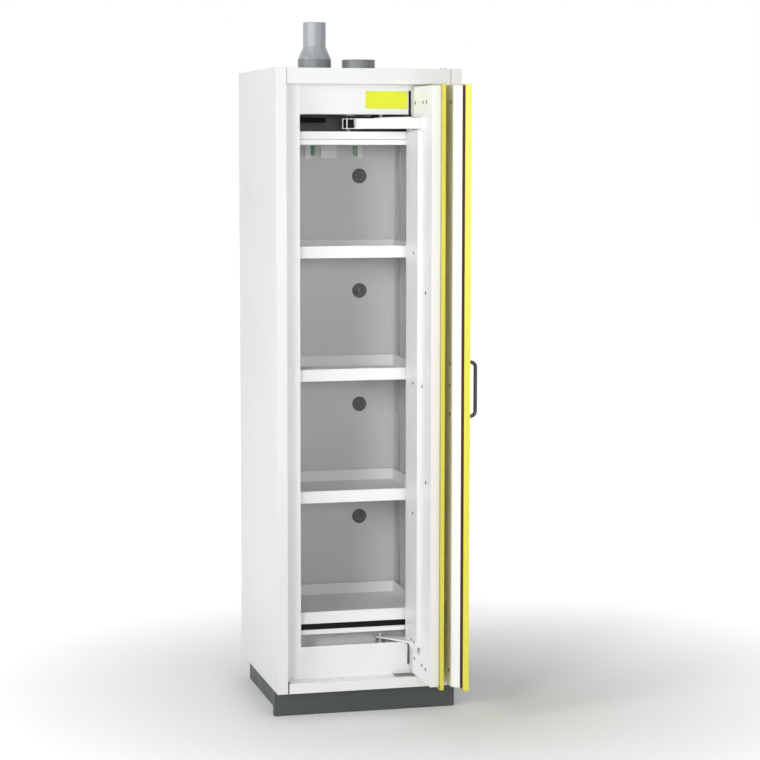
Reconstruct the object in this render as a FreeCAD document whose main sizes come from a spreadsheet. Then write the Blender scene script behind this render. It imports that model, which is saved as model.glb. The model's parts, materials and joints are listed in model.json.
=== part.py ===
"""Flammable safety cabinet: a tall fire-resistant cupboard with two door leaves.

Millimetres. X runs to the right, Y to the back, Z up. The origin is on the floor under the
middle of the casing. "Depth" is a distance behind the front plane of the casing. Both door
leaves are drawn wide open, a quarter turn from closed, which is their rest position.
"""
import FreeCAD
import Part
import math
import os
import re

os.makedirs("parts", exist_ok=True)
doc = FreeCAD.newDocument("safety_cabinet")

# Driving dimensions, one cell each
SIZES = {
    # Casing
    "body_width": 600,
    "body_depth": 615,
    "body_height": 2068,
    "plinth_height": 84,
    "casing_sheet": 2,
    "stile_width": 34,
    "fascia_height": 49,
    "fascia_seam": 1.5,
    "sill_height": 33,
    "sill_end_gap": 4,
    "tread_notch": 7,
    "front_recess": 55,
    "side_wall": 75,
    "rear_wall": 70,
    "liner_sheet": 5,
    "roof_wall": 68,
    # Recessed front frame
    "opening_width": 424,
    "opening_over_sill": 105.5,
    "opening_under_top": 143,
    "slot_width": 8.5,
    "slot_reach": 75,
    "label_slot_gap": 3.5,
    "label_width": 138,
    "label_height": 55,
    "label_rise": 18,
    "label_sheet": 1,
    # Plinth and feet
    "plinth_setback": 56,
    "plinth_side_inset": 24.5,
    "plinth_rear_inset": 20,
    "plinth_return": 22,
    "plinth_sheet": 2,
    "foot_radius": 20,
    "foot_thickness": 8,
    "foot_stem_radius": 6,
    "foot_side_inset": 62,
    "foot_end_inset": 110,
    # Store: floor, sump, shelves, ceiling
    "store_depth_from": 80,
    "floor_over_sill": 154.5,
    "floor_pan_height": 15,
    "pan_sheet": 1.5,
    "stand_height": 20,
    "stand_inset": 6,
    "stand_bar": 14,
    "tray_lip": 38,
    "tray_sheet": 1.5,
    "tray_side_gap": 3,
    "tray_rear_gap": 6,
    "shelf_pitch": 393,
    "rail_thickness": 3,
    "rail_width": 20,
    "rail_front_depth": 150,
    "rail_rear_inset": 135,
    "hook_length": 17,
    "hook_width": 16,
    "hook_height": 9,
    "ceiling_under_top": 238.5,
    "ceiling_pan_height": 16.5,
    "air_box_height": 25,
    "duct_screen_gap": 10,
    "skirt_behind_pivot": 43,
    # Ventilation
    "duct_spacing": 150,
    "duct_rear_inset": 160,
    "duct_radius": 50,
    "duct_wall": 1.5,
    "duct_clearance": 0.5,
    "vent_x": 100,
    "vent_over_floor": 287.5,
    "vent_pitch": 388.5,
    "vent_radius": 25,
    "vent_thickness": 4,
    "vent_hole_radius": 21,
    "vent_slot": 3.5,
    "riser_width": 56,
    "riser_depth": 38,
    "riser_sheet": 1.5,
    "riser_foot": 45,
    "port_margin": 3,
    "spigot_radius": 55,
    "spigot_wall": 3,
    "spigot_height": 42,
    "spigot_flange_radius": 68,
    "spigot_flange": 3,
    "reducer_radius": 37.5,
    "reducer_cone": 41,
    "reducer_tube": 80,
    "reducer_insert": 20,
    "reducer_clearance": 0.3,
    "flap_under_top": 128,
    "flap_clearance": 1.5,
    "flap_thickness": 2,
    "flap_shaft_radius": 2.5,
    "shaft_clearance": 0.05,
    "link_radius": 7,
    "link_length": 37,
    "link_spacing": 146,
    "link_behind_duct": 35,
    "bracket_width": 18,
    "bracket_length": 46,
    "bracket_thickness": 3,
    "cover_x": -16,
    "bridge_length": 92,
    # Left leaf, hung on the swing frame
    "left_open_inset": 76,
    "left_open_end": 49,
    "leaf_edge_gap": 3,
    "leaf_low_gap": 3.5,
    "leaf_high_gap": 4,
    "leaf_skin": 2,
    "leaf_step_low": 7,
    "leaf_step_high": 4,
    "seam_gap": 3,
    "left_skin_depth": 12,
    "left_leaf_depth": 40,
    "left_step": 17,
    "left_end_step": 3,
    "left_seal_width": 25,
    "left_seal_sheet": 1,
    "carrier_offset": 10,
    "carrier_sheet": 2.5,
    "carrier_left": -126,
    "carrier_right": 12,
    "carrier_slant": 25,
    "carrier_pad_left": -76,
    "carrier_pad_width": 12,
    "swing_plate": 5,
    "swing_plate_left": -56,
    "swing_plate_right": 24,
    "swing_plate_lap": 3,
    "swing_plate_flare": 24,
    "swing_plate_rim": 16,
    "plate_over_sill": 117,
    "pivot_pin_radius": 5,
    "pin_clearance": 0.05,
    "pin_grip": 37,
    "pin_stub": 8,
    "pin_end_gap": 0.3,
    "bearing_gap": 9,
    "bearing_radius": 16,
    "bearing_base": 4,
    "bearing_base_width": 76,
    "bearing_base_depth": 56,
    "arm_under_top": 188,
    "arm_height": 32,
    "arm_width": 24,
    "arm_wall": 2,
    "arm_root_x": -136,
    "arm_root_length": 49,
    "arm_root_thickness": 12,
    "arm_root_margin": 4,
    "arm_tip_x": 46,
    "arm_tip_depth": 234,
    "arm_fork": 38,
    "arm_fork_past_pin": 16,
    "slider_length": 30,
    "slider_side_gap": 2,
    "slider_pin_radius": 3,
    "guide_half_width": 14,
    "guide_thickness": 4,
    "guide_gap": 3,
    "guide_slot_clearance": 0.6,
    "guide_post_radius": 4,
    "guide_post_margin": 1,
    "closer_right": -86,
    "closer_depth": 240,
    "closer_width": 22,
    "closer_height": 15,
    "closer_over_arm": 21,
    "closer_groove": 3,
    # Right leaf, hung on pins at the right jamb
    "jamb_gap": 2,
    "right_pivot_set": 15,
    "right_leaf_end": -2,
    "leaf_edge_clearance": 2,
    "right_skin_depth": 16.5,
    "right_groove": 8,
    "right_leaf_depth": 48,
    "right_tray_past_pivot": 6,
    "right_core_gap": 4,
    "fire_strip_width": 8,
    "pin_plate": 2,
    "pin_plate_width": 26,
    "pin_plate_depth": 34,
    "jamb_pin_length": 21,
    "shoe_wall": 4,
    "shoe_height": 25,
    "pin_hole_margin": 2,
    "handle_x": 44,
    "handle_height": 1070,
    "handle_pitch": 170,
    "handle_reach": 30,
    "handle_radius": 6,
    "handle_bend": 16,
    # Catch plate on the sill
    "catch_left": 92,
    "catch_right": 155,
    "catch_front": 17,
    "catch_sheet": 1.5,
    "catch_slot_length": 14,
    "catch_slot_width": 7,
    "catch_slot_pitch": 20,
}

# Places worked out from the driving dimensions
PLACES = {
    "front": "-body_depth / 2",
    "rear": "body_depth / 2",
    "half_width": "body_width / 2",
    "jamb": "half_width - stile_width",
    "fascia_low": "body_height - fascia_height",
    "sill_top": "plinth_height + sill_height",
    "inner_low": "plinth_height + casing_sheet",
    "inner_high": "body_height - casing_sheet",
    "machine_ceiling": "body_height - roof_wall",
    "frame_front": "front + front_recess",
    "frame_back": "frame_front + casing_sheet",
    "opening_low": "sill_top + opening_over_sill",
    "opening_high": "body_height - opening_under_top",
    "inner_half": "half_width - side_wall",
    "liner_half": "inner_half + liner_sheet",
    "liner_rear": "rear - rear_wall",
    "store_front": "front + store_depth_from",
    "floor_pan_top": "sill_top + floor_over_sill",
    "sump_low": "floor_pan_top + stand_height",
    "ceiling_low": "body_height - ceiling_under_top",
    "ceiling_high": "ceiling_low + ceiling_pan_height",
    "air_box_top": "ceiling_high + air_box_height",
    "duct_y": "rear - duct_rear_inset",
    "link_y": "duct_y + link_behind_duct",
    "vent_low": "floor_pan_top + vent_over_floor",
    "spigot_top": "body_height + spigot_height",
    "leaf_low": "sill_top + leaf_low_gap",
    "leaf_high": "fascia_low - leaf_high_gap",
    "tray_low": "leaf_low + leaf_step_low",
    "tray_high": "leaf_high - leaf_step_high",
    "left_leaf_start": "leaf_edge_gap - jamb",
    "left_leaf_end": "right_leaf_end - seam_gap",
    "left_open_face": "jamb - left_open_inset",
    "left_pivot_x": "(left_open_face - left_open_end + left_leaf_end) / 2",
    "left_pivot_set": "left_open_face - left_pivot_x",
    "left_pivot_y": "front + left_pivot_set",
    "floor_skirt_y": "left_pivot_y + skirt_behind_pivot",
    "duct_screen_y": "duct_y - duct_radius - duct_screen_gap",
    "left_tray_face": "left_pivot_x + left_pivot_set - left_leaf_depth",
    "right_pivot_x": "jamb - jamb_gap - right_pivot_set",
    "right_pivot_y": "front + right_pivot_set",
    "shoe_radius": "pivot_pin_radius + shoe_wall",
    "arm_low": "body_height - arm_under_top",
    "upper_plate_low": "arm_low + arm_height",
    "upper_plate_top": "upper_plate_low + swing_plate",
    "lower_plate_top": "sill_top + plate_over_sill",
    "lower_plate_low": "lower_plate_top - swing_plate",
    "guide_low": "upper_plate_top + guide_gap",
    "closer_low": "arm_low + closer_over_arm",
}


def make_sheet(name, cells):
    """One spreadsheet: names in column A, values in column B under the same alias."""
    sheet = doc.addObject("Spreadsheet::Sheet", name)
    for row, (alias, content) in enumerate(cells.items(), start=1):
        sheet.set(f"A{row}", alias)
        sheet.set(f"B{row}", content)
        sheet.setAlias(f"B{row}", alias)
    doc.recompute()
    return sheet


def formula(text, places_sheet="Places."):
    """Put the sheet's name in front of every alias in a line of arithmetic."""
    def prefixed(match):
        word = match.group(0)
        if word in SIZES:
            return "Sizes." + word
        return places_sheet + word if word in PLACES else word
    return re.sub(r"[a-z][a-z_]*", prefixed, str(text))


sizes = make_sheet("Sizes", {alias: str(size) for alias, size in SIZES.items()})
places = make_sheet("Places", {alias: "=" + formula(text, "") for alias, text in PLACES.items()})


def value(text):
    """The number that a line of arithmetic over the aliases gives."""
    return float(places.evalExpression(formula(text)))


def bind(thing, **properties):
    """Bind properties of an object to lines of arithmetic over the aliases."""
    for name, text in properties.items():
        thing.setExpression(name, formula(text))


# Building blocks

def place(thing, x, y, z):
    """Bind the place of an object."""
    for axis, text in zip("xyz", (x, y, z)):
        thing.setExpression(f"Placement.Base.{axis}", formula(text))


def block(x, y, z):
    """A box between two planes on each axis; x, y and z are pairs of formulas."""
    box = doc.addObject("Part::Box", "block")
    bind(box, Length=f"({x[1]}) - ({x[0]})", Width=f"({y[1]}) - ({y[0]})", Height=f"({z[1]}) - ({z[0]})")
    place(box, x[0], y[0], z[0])
    return box


QUARTER_TURNS = {
    "X": FreeCAD.Rotation(FreeCAD.Vector(0, 1, 0), 90),
    "Y": FreeCAD.Rotation(FreeCAD.Vector(1, 0, 0), -90),
    "Z": FreeCAD.Rotation(),
}


def rod(radius, length, x, y, z, along="Z"):
    """A cylinder that starts at a point and runs along X, Y or Z."""
    cylinder = doc.addObject("Part::Cylinder", "rod")
    cylinder.Placement = FreeCAD.Placement(FreeCAD.Vector(0, 0, 0), QUARTER_TURNS[along])
    bind(cylinder, Radius=radius, Height=length)
    place(cylinder, x, y, z)
    return cylinder


def cone(low_radius, high_radius, height, x, y, z):
    """An upright cone frustum."""
    frustum = doc.addObject("Part::Cone", "cone")
    bind(frustum, Radius1=low_radius, Radius2=high_radius, Height=height)
    place(frustum, x, y, z)
    return frustum


def ball(radius, x, y, z):
    """A sphere."""
    sphere = doc.addObject("Part::Sphere", "ball")
    bind(sphere, Radius=radius)
    place(sphere, x, y, z)
    return sphere


def fuse(*pieces):
    """One solid made of several that touch or overlap."""
    union = doc.addObject("Part::MultiFuse", "fuse")
    union.Shapes = list(pieces)
    union.Refine = True
    return union


def cut(base, *tools):
    """A solid with others taken out of it."""
    difference = doc.addObject("Part::Cut", "cut")
    difference.Base = base
    difference.Tool = tools[0] if len(tools) == 1 else fuse(*tools)
    return difference


def group(pieces):
    """Separate solids kept together under one name."""
    compound = doc.addObject("Part::Compound", "group")
    compound.Links = list(pieces)
    return compound


def shaped(shape):
    """An object whose shape is worked out here from values in the sheets."""
    feature = doc.addObject("Part::Feature", "shape")
    feature.Shape = shape
    return feature


def outline_prism(corners, low, high):
    """An upright prism over a plan outline; corners are pairs of numbers."""
    points = [FreeCAD.Vector(x, y, low) for x, y in corners]
    face = Part.Face(Part.makePolygon(points + points[:1]))
    return face.extrude(FreeCAD.Vector(0, 0, high - low))


nodes = {}


def node(label, thing):
    """Name a finished sub-part."""
    thing.Label = label
    nodes[label] = thing
    return thing


def depth(text):
    """The Y place of a distance behind the front plane."""
    return f"front + ({text})"


def pan(x, y, z, sheet, open_side):
    """A folded sheet pan: a box with one open side, "low" or "high"."""
    z_inner = (z[0], f"({z[1]}) - {sheet}") if open_side == "low" else (f"({z[0]}) + {sheet}", z[1])
    hollow = block((f"({x[0]}) + {sheet}", f"({x[1]}) - {sheet}"),
                   (f"({y[0]}) + {sheet}", f"({y[1]}) - {sheet}"), z_inner)
    return cut(block(x, y, z), hollow)


# Outer casing

def side_panel(side):
    """Outer side sheet with the folded front stile and its inner reveal; side is -1 or 1."""
    outer = f"{side} * half_width"
    inner = f"{side} * (half_width - casing_sheet)"
    jamb = f"{side} * jamb"
    behind_jamb = f"{side} * (jamb + casing_sheet)"

    def span(first, second):
        return (first, second) if side < 0 else (second, first)

    height = ("plinth_height", "body_height")
    wall = block(span(outer, inner), ("front", "rear"), height)
    stile = block(span(outer, jamb), ("front", "front + casing_sheet"), height)
    reveal = block(span(behind_jamb, jamb), ("front", "frame_front"), ("inner_low", "inner_high"))
    return fuse(wall, stile, reveal)


node("left_side_panel", side_panel(-1))
node("right_side_panel", side_panel(1))

inner_width = ("casing_sheet - half_width", "half_width - casing_sheet")
between_front_and_rear = ("front + casing_sheet", "rear - casing_sheet")
duct_sides = (-1, 1)


duct_hole_radius = "duct_radius + duct_clearance"


def duct_hole(side, low, high):
    """Cutting rod on a duct's axis."""
    return rod(duct_hole_radius, f"({high}) - ({low})", f"{side} * duct_spacing / 2", "duct_y", low)


def duct_holes(low, high):
    """Cutting rods on both duct axes."""
    return [duct_hole(side, low, high) for side in duct_sides]


roof = block(inner_width, between_front_and_rear, ("inner_high", "body_height"))
node("roof_panel", cut(roof, *duct_holes("inner_high - 1", "body_height + 1")))
node("rear_panel", block(inner_width, ("rear - casing_sheet", "rear"), ("plinth_height", "body_height")))
node("base_panel", block(inner_width, between_front_and_rear, ("plinth_height", "inner_low")))

fascia_span = ("fascia_seam - jamb", "jamb - fascia_seam")
fascia_face = block(fascia_span, ("front", "front + casing_sheet"), ("fascia_low", "body_height"))
fascia_return = block(fascia_span, ("front", "frame_front"), ("fascia_low", "fascia_low + casing_sheet"))
node("top_fascia", fuse(fascia_face, fascia_return))

sill_span = ("sill_end_gap - jamb", "jamb - sill_end_gap")
sill_face = block(sill_span, ("front", "front + casing_sheet"), ("plinth_height", "sill_top"))
sill_tread = block(sill_span, ("front", "frame_front"), ("sill_top - casing_sheet", "sill_top"))
tread_end, tread_front = value("sill_end_gap - jamb"), value("front + casing_sheet")
tread_relief = shaped(outline_prism([(tread_end - 1, tread_front), (tread_end + value("tread_notch"), tread_front),
                                     (tread_end - 1, value("frame_front"))],
                                    value("sill_top - casing_sheet") - 1, value("sill_top") + 1))
node("sill_rail", cut(fuse(sill_face, sill_tread), tread_relief))

# Recessed front frame round the opening

frame_depth = ("frame_front", "frame_back")
half_opening = "opening_width / 2"
frame_height = ("inner_low", "inner_high")
node("frame_left", block(("-jamb - casing_sheet", f"-{half_opening}"), frame_depth, frame_height))
node("frame_right", block((half_opening, "jamb + casing_sheet"), frame_depth, frame_height))
between_bands = (f"-{half_opening}", half_opening)
slot_span = ("left_tray_face - slot_width", "left_tray_face")
slot_depth = ("frame_front - 1", "frame_back + 1")
node("frame_top", cut(block(between_bands, frame_depth, ("opening_high", "inner_high")),
                      block(slot_span, slot_depth, ("opening_high - 1", "opening_high + slot_reach"))))
node("frame_bottom", cut(block(between_bands, frame_depth, ("inner_low", "opening_low")),
                         block(slot_span, slot_depth, ("opening_low - slot_reach", "opening_low + 1"))))
label_right = "left_tray_face - slot_width - label_slot_gap"
label_low = "opening_high + label_rise"
node("label_plate", block((f"{label_right} - label_width", label_right),
                          ("frame_front - label_sheet", "frame_front"),
                          (label_low, f"{label_low} + label_height")))

# Insulation boards and inner liners

boards = []
for side in (-1, 1):
    near, far = f"{side} * liner_half", f"{side} * (half_width - casing_sheet)"
    across = (far, near) if side < 0 else (near, far)
    boards.append(block(across, ("frame_back", "rear - casing_sheet"), frame_height))
node("side_insulation", group(boards))
between_boards = ("-liner_half", "liner_half")
board_length = ("frame_back", "rear - casing_sheet")
node("floor_insulation", block(between_boards, board_length, ("inner_low", "sill_top")))
roof_board = block(between_boards, board_length, ("machine_ceiling", "inner_high"))
node("roof_insulation", cut(roof_board, *duct_holes("machine_ceiling - 1", "inner_high + 1")))

liner_height = ("sill_top", "machine_ceiling")
node("left_liner", block(("-liner_half", "-inner_half"), ("frame_back", "liner_rear"), liner_height))
node("right_liner", block(("inner_half", "liner_half"), ("frame_back", "liner_rear"), liner_height))
riser_x = ("vent_x - riser_width / 2", "vent_x + riser_width / 2")
riser_y = ("liner_rear + liner_sheet", "liner_rear + liner_sheet + riser_depth")
riser_z = ("vent_low - riser_foot", "air_box_top")
rear_board = block(between_boards, ("liner_rear + liner_sheet", "rear - casing_sheet"), liner_height)
node("rear_insulation", cut(rear_board, block(riser_x, ("liner_rear", riser_y[1]), riser_z)))

vent_heights = [f"vent_low + {step} * vent_pitch" for step in range(4)]
liner_holes = [rod("vent_hole_radius", "liner_sheet + 2", "vent_x", "liner_rear - 1", height, along="Y")
               for height in vent_heights]
port_x = ("vent_x - vent_hole_radius", "vent_x + vent_hole_radius")
port_z = ("ceiling_high + port_margin", "air_box_top - port_margin")
riser_port = block(port_x, ("liner_rear - 1", "liner_rear + liner_sheet + 1"), port_z)
node("rear_liner", cut(block(between_boards, ("liner_rear", "liner_rear + liner_sheet"), liner_height),
                       riser_port, *liner_holes))

# Air path: riser behind the rear liner, round grilles, ducts, spigots and fire flaps

riser_hollow = block((f"({riser_x[0]}) + riser_sheet", f"({riser_x[1]}) - riser_sheet"),
                     (f"({riser_y[0]}) - 1", f"({riser_y[1]}) - riser_sheet"),
                     (f"({riser_z[0]}) + riser_sheet", f"({riser_z[1]}) - riser_sheet"))
node("rear_riser", cut(block(riser_x, riser_y, riser_z), riser_hollow))


def vent_grille(height):
    """Round grille on the rear liner with five level slots."""
    disc = rod("vent_radius", "vent_thickness", "vent_x", "liner_rear - vent_thickness", height, along="Y")
    slots = []
    for step in (-2, -1, 0, 1, 2):
        middle = f"({height}) + {step} * 2 * vent_slot"
        reach = f"(vent_hole_radius - {abs(step)} * vent_slot)"
        slots.append(block((f"vent_x - {reach}", f"vent_x + {reach}"),
                           ("liner_rear - vent_thickness - 1", "liner_rear + 1"),
                           (f"{middle} - vent_slot / 2", f"{middle} + vent_slot / 2")))
    return cut(disc, *slots)


node("vent_grilles", group([vent_grille(height) for height in vent_heights]))

shaft_height = "body_height - flap_under_top"


def air_duct(side, mouth):
    """Round duct from its mouth to the roof, with two holes for the flap's shaft."""
    duct_x = f"{side} * duct_spacing / 2"
    length = f"(body_height - ({mouth}))"
    return cut(rod("duct_radius", length, duct_x, "duct_y", mouth),
               rod("duct_radius - duct_wall", f"{length} + 2", duct_x, "duct_y", f"{mouth} - 1"),
               rod("flap_shaft_radius + shaft_clearance", "2 * duct_radius + 2", duct_x,
                   "duct_y - duct_radius - 1", shaft_height, along="Y"))


node("air_ducts", group([air_duct(-1, "ceiling_low"), air_duct(1, "ceiling_high")]))


def fire_flap(side):
    """Round flap on a shaft across the duct; it stands upright, open, at rest."""
    duct_x = f"{side} * duct_spacing / 2"
    radius = "duct_radius - duct_wall - flap_clearance"
    disc = rod(radius, "flap_thickness", f"{duct_x} - flap_thickness / 2", "duct_y", shaft_height,
               along="X")
    shaft = rod("flap_shaft_radius", "2 * duct_radius + 4", duct_x, "duct_y - duct_radius - 2",
                shaft_height, along="Y")
    return fuse(disc, shaft)


node("exhaust_flap", fire_flap(-1))
node("supply_flap", fire_flap(1))

spigots = []
for side in duct_sides:
    duct_x = f"{side} * duct_spacing / 2"
    collar = rod("spigot_radius", "spigot_height", duct_x, "duct_y", "body_height")
    flange = rod("spigot_flange_radius", "spigot_flange", duct_x, "duct_y", "body_height")
    bore = rod("spigot_radius - spigot_wall", "spigot_height + 2", duct_x, "duct_y", "body_height - 1")
    spigots.append(cut(fuse(collar, flange), bore))
node("roof_spigots", group(spigots))

exhaust_x = "-duct_spacing / 2"
insert_radius = "(spigot_radius - spigot_wall - reducer_clearance)"


def reducer_form(insert, foot, tube, extra):
    """Insert, cone and tube on the exhaust axis; extra lengthens both ends."""
    return fuse(
        rod(insert, f"reducer_insert + {extra}", exhaust_x, "duct_y", f"spigot_top - reducer_insert - {extra}"),
        cone(foot, tube, "reducer_cone", exhaust_x, "duct_y", "spigot_top"),
        rod(tube, f"reducer_tube + {extra}", exhaust_x, "duct_y", "spigot_top + reducer_cone"))


reducer_bore = f"{insert_radius} - spigot_wall"
node("exhaust_reducer", cut(reducer_form(insert_radius, "spigot_radius", "reducer_radius", 0),
                            reducer_form(reducer_bore, reducer_bore, "reducer_radius - spigot_wall", 1)))

# Store: floor pan, sump, shelves and ceiling

store_width = ("-inner_half", "inner_half")
store_length = ("store_front", "liner_rear")
floor_pan = pan(store_width, store_length, ("floor_pan_top - floor_pan_height", "floor_pan_top"), "pan_sheet", "low")
floor_skirt = block(store_width, ("floor_skirt_y", "floor_skirt_y + pan_sheet"),
                    ("sill_top", "floor_pan_top - floor_pan_height"))
node("floor_pan", fuse(floor_pan, floor_skirt))
tray_half = "(inner_half - rail_thickness - tray_side_gap)"
tray_width = (f"-{tray_half}", tray_half)
tray_length = ("store_front", "liner_rear - tray_rear_gap")
stand_x = (f"{tray_width[0]} + stand_inset", f"{tray_width[1]} - stand_inset")
stand_y = (f"{tray_length[0]} + stand_inset", f"{tray_length[1]} - stand_inset")
stand_z = ("floor_pan_top", "sump_low")
stand_hollow = block((f"{stand_x[0]} + stand_bar", f"{stand_x[1]} - stand_bar"),
                     (f"{stand_y[0]} + stand_bar", f"{stand_y[1]} - stand_bar"),
                     ("floor_pan_top - 1", "sump_low + 1"))
node("sump_stand", cut(block(stand_x, stand_y, stand_z), stand_hollow))
tray_names = ("sump_tray", "lower_shelf", "middle_shelf", "upper_shelf")
for level, name in enumerate(tray_names):
    bottom = f"sump_low + {level} * shelf_pitch"
    node(name, pan(tray_width, tray_length, (bottom, f"{bottom} + tray_lip"), "tray_sheet", "high"))

rails = []
hooks = []
for side in (-1, 1):
    for middle in ("front + rail_front_depth", "rear - rail_rear_inset"):
        wall, face = f"{side} * inner_half", f"{side} * (inner_half - rail_thickness)"
        across = (wall, face) if side < 0 else (face, wall)
        rails.append(block(across, (f"{middle} - rail_width / 2", f"{middle} + rail_width / 2"),
                           ("floor_pan_top", "ceiling_low")))
        tip = f"{side} * (inner_half - rail_thickness - hook_length)"
        reach = (face, tip) if side < 0 else (tip, face)
        for level in (1, 2, 3):
            seat = f"sump_low + {level} * shelf_pitch"
            hooks.append(block(reach, (f"{middle} - hook_width / 2", f"{middle} + hook_width / 2"),
                               (f"{seat} - hook_height", seat)))
node("shelf_rails", group(rails))
node("shelf_hooks", group(hooks))

ceiling_pan = pan(store_width, store_length, ("ceiling_low", "ceiling_high"), "pan_sheet", "high")
node("ceiling_pan", cut(ceiling_pan, duct_hole(-1, "ceiling_low - 1", "ceiling_high + 1")))
air_box = pan(store_width, store_length, ("ceiling_high", "air_box_top"), "pan_sheet", "low")
box_port = block(port_x, ("liner_rear - 2 * pan_sheet", "liner_rear + 1"), port_z)
node("air_box", cut(air_box, box_port, *duct_holes("ceiling_high", "air_box_top + 1")))

brackets = []
links = []
for side in (-1, 1):
    inner_edge = f"{side} * (link_spacing / 2 + link_radius)"
    outer_edge = f"{side} * (link_spacing / 2 + link_radius + bracket_width)"
    across = (outer_edge, inner_edge) if side < 0 else (inner_edge, outer_edge)
    hanger_y = ("link_y", "link_y + bracket_thickness")
    duct_x = f"{side} * duct_spacing / 2"
    bridge = block((f"{duct_x} - bridge_length / 2", f"{duct_x} + bridge_length / 2"),
                   ("link_y - link_radius", "link_y + link_radius"),
                   ("ceiling_low - bracket_thickness", "ceiling_low"))
    hanger = block(across, hanger_y, ("ceiling_low - bracket_length", "ceiling_low"))
    brackets.append(fuse(bridge, hanger))
    link_x = f"{side} * link_spacing / 2"
    tip_centre = "ceiling_low - link_length + link_radius"
    stem = rod("link_radius", "link_length - link_radius - bracket_thickness", link_x, "link_y", tip_centre)
    links.append(fuse(stem, ball("link_radius", link_x, "link_y", tip_centre)))
cover_front = "link_y + 2 * link_radius"
brackets.append(block(("cover_x - 1.5 * bracket_width", "cover_x + 1.5 * bracket_width"),
                      (cover_front, f"{cover_front} + bracket_thickness"),
                      ("ceiling_low - bracket_length", "ceiling_low")))
# The dampers' screen hides the ducts from the gap over the air box.
brackets.append(block(store_width, ("duct_screen_y", "duct_screen_y + pan_sheet"), ("air_box_top", "machine_ceiling")))
node("damper_brackets", group(brackets))
node("fusible_links", group(links))

# Plinth and levelling feet

plinth_band = ("0", "plinth_height")
plinth_y = (depth("plinth_setback"), depth("plinth_setback + plinth_sheet"))
plinth_face = block(("-half_width", "half_width"), plinth_y, plinth_band)
plinth_ends = [block(end, (plinth_y[0], depth("plinth_setback + plinth_return")), plinth_band)
               for end in (("-half_width", "plinth_sheet - half_width"),
                           ("half_width - plinth_sheet", "half_width"))]
node("plinth_front", fuse(plinth_face, *plinth_ends))
side_face = "half_width - plinth_side_inset"
plinth_run = (plinth_y[1], "rear - plinth_rear_inset")
plinth_walls = [block((f"-({side_face})", f"plinth_sheet - ({side_face})"), plinth_run, plinth_band),
                block((f"{side_face} - plinth_sheet", side_face), plinth_run, plinth_band),
                block((f"plinth_sheet - ({side_face})", f"{side_face} - plinth_sheet"),
                      ("rear - plinth_rear_inset - plinth_sheet", "rear - plinth_rear_inset"), plinth_band)]
node("plinth_sides", group(plinth_walls))

feet = []
for side in (-1, 1):
    for foot_y in ("front + foot_end_inset", "rear - foot_end_inset / 2"):
        foot_x = f"{side} * (half_width - foot_side_inset)"
        pad = rod("foot_radius", "foot_thickness", foot_x, foot_y, "0")
        stem = rod("foot_stem_radius", "plinth_height - foot_thickness", foot_x, foot_y, "foot_thickness")
        feet.append(fuse(pad, stem))
node("levelling_feet", group(feet))


# Door leaves, drawn turned open about their pivots

def turned(pivot, x, behind):
    """Ranges in X and Y of a leaf piece, given its ranges across and behind the front when closed."""
    across = tuple(f"{pivot}_pivot_x + {pivot}_pivot_set - ({edge})" for edge in reversed(behind))
    along = tuple(depth(f"{pivot}_pivot_set + ({edge}) - {pivot}_pivot_x") for edge in x)
    return across, along


def leaf_block(pivot, x, behind, z):
    across, along = turned(pivot, x, behind)
    return block(across, along, z)


def turned_point(pivot, x, behind):
    """Numbers for a plan point of a leaf, given where it is when the leaf is closed."""
    return (value(f"{pivot}_pivot_x + {pivot}_pivot_set") - behind,
            value(f"front + {pivot}_pivot_set - {pivot}_pivot_x") + x)


# Left leaf: yellow outer pan, core, white inner pan and edge strip

left_x = ("left_leaf_start", "left_leaf_end")
leaf_z = ("leaf_low", "leaf_high")
tray_z = ("tray_low", "tray_high")
core_z = ("tray_low + leaf_skin", "tray_high - leaf_skin")
left_skin_blank = leaf_block("left", left_x, ("0", "left_skin_depth"), leaf_z)
left_skin_hollow = leaf_block("left", (f"{left_x[0]} + leaf_skin", f"{left_x[1]} - leaf_skin"),
                              ("leaf_skin", "left_skin_depth + 1"),
                              ("leaf_low + leaf_skin", "leaf_high - leaf_skin"))
node("left_leaf_skin", cut(left_skin_blank, left_skin_hollow))
left_tray_x = ("left_leaf_start + left_step", "left_leaf_end - left_end_step")
left_tray_blank = leaf_block("left", left_tray_x, ("left_skin_depth", "left_leaf_depth"), tray_z)
left_core_x = (f"{left_tray_x[0]} + leaf_skin", f"{left_tray_x[1]} - leaf_skin")
left_inner_face = "left_leaf_depth - leaf_skin"
left_tray_hollow = leaf_block("left", left_core_x, ("left_skin_depth - 1", left_inner_face), core_z)
node("left_leaf_tray", cut(left_tray_blank, left_tray_hollow))
node("left_leaf_core", leaf_block("left", left_core_x, ("leaf_skin", left_inner_face), core_z))
node("left_leaf_strip", leaf_block("left", (f"{left_tray_x[1]} - left_seal_width", left_tray_x[1]),
                                   ("left_leaf_depth", "left_leaf_depth + left_seal_sheet"), tray_z))

# Swing frame: two arm plates and a carrier plate that hang the left leaf on its pivot

left_pin = (value("left_pivot_x"), value("left_pivot_set"))
carrier_depth = value("left_leaf_depth + carrier_offset")
plate_left = value("swing_plate_left")
plate_right = value("swing_plate_right")
rim = value("swing_plate_rim")
flare = value("swing_plate_flare")
swing_plate_corners = [
    (left_pin[0] - rim, left_pin[1] + rim),
    (plate_left, carrier_depth + value("swing_plate_lap")),
    (plate_left, carrier_depth),
    (plate_right, carrier_depth),
    (plate_right + flare, carrier_depth + flare),
    (left_pin[0] + rim / 2, left_pin[1] - rim),
    (left_pin[0] + rim, left_pin[1] + rim),
]


def swing_plate(low, high):
    """Arm plate from the pivot pin to the carrier plate."""
    return shaped(outline_prism([turned_point("left", x, behind) for x, behind in swing_plate_corners],
                                value(low), value(high)))


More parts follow.
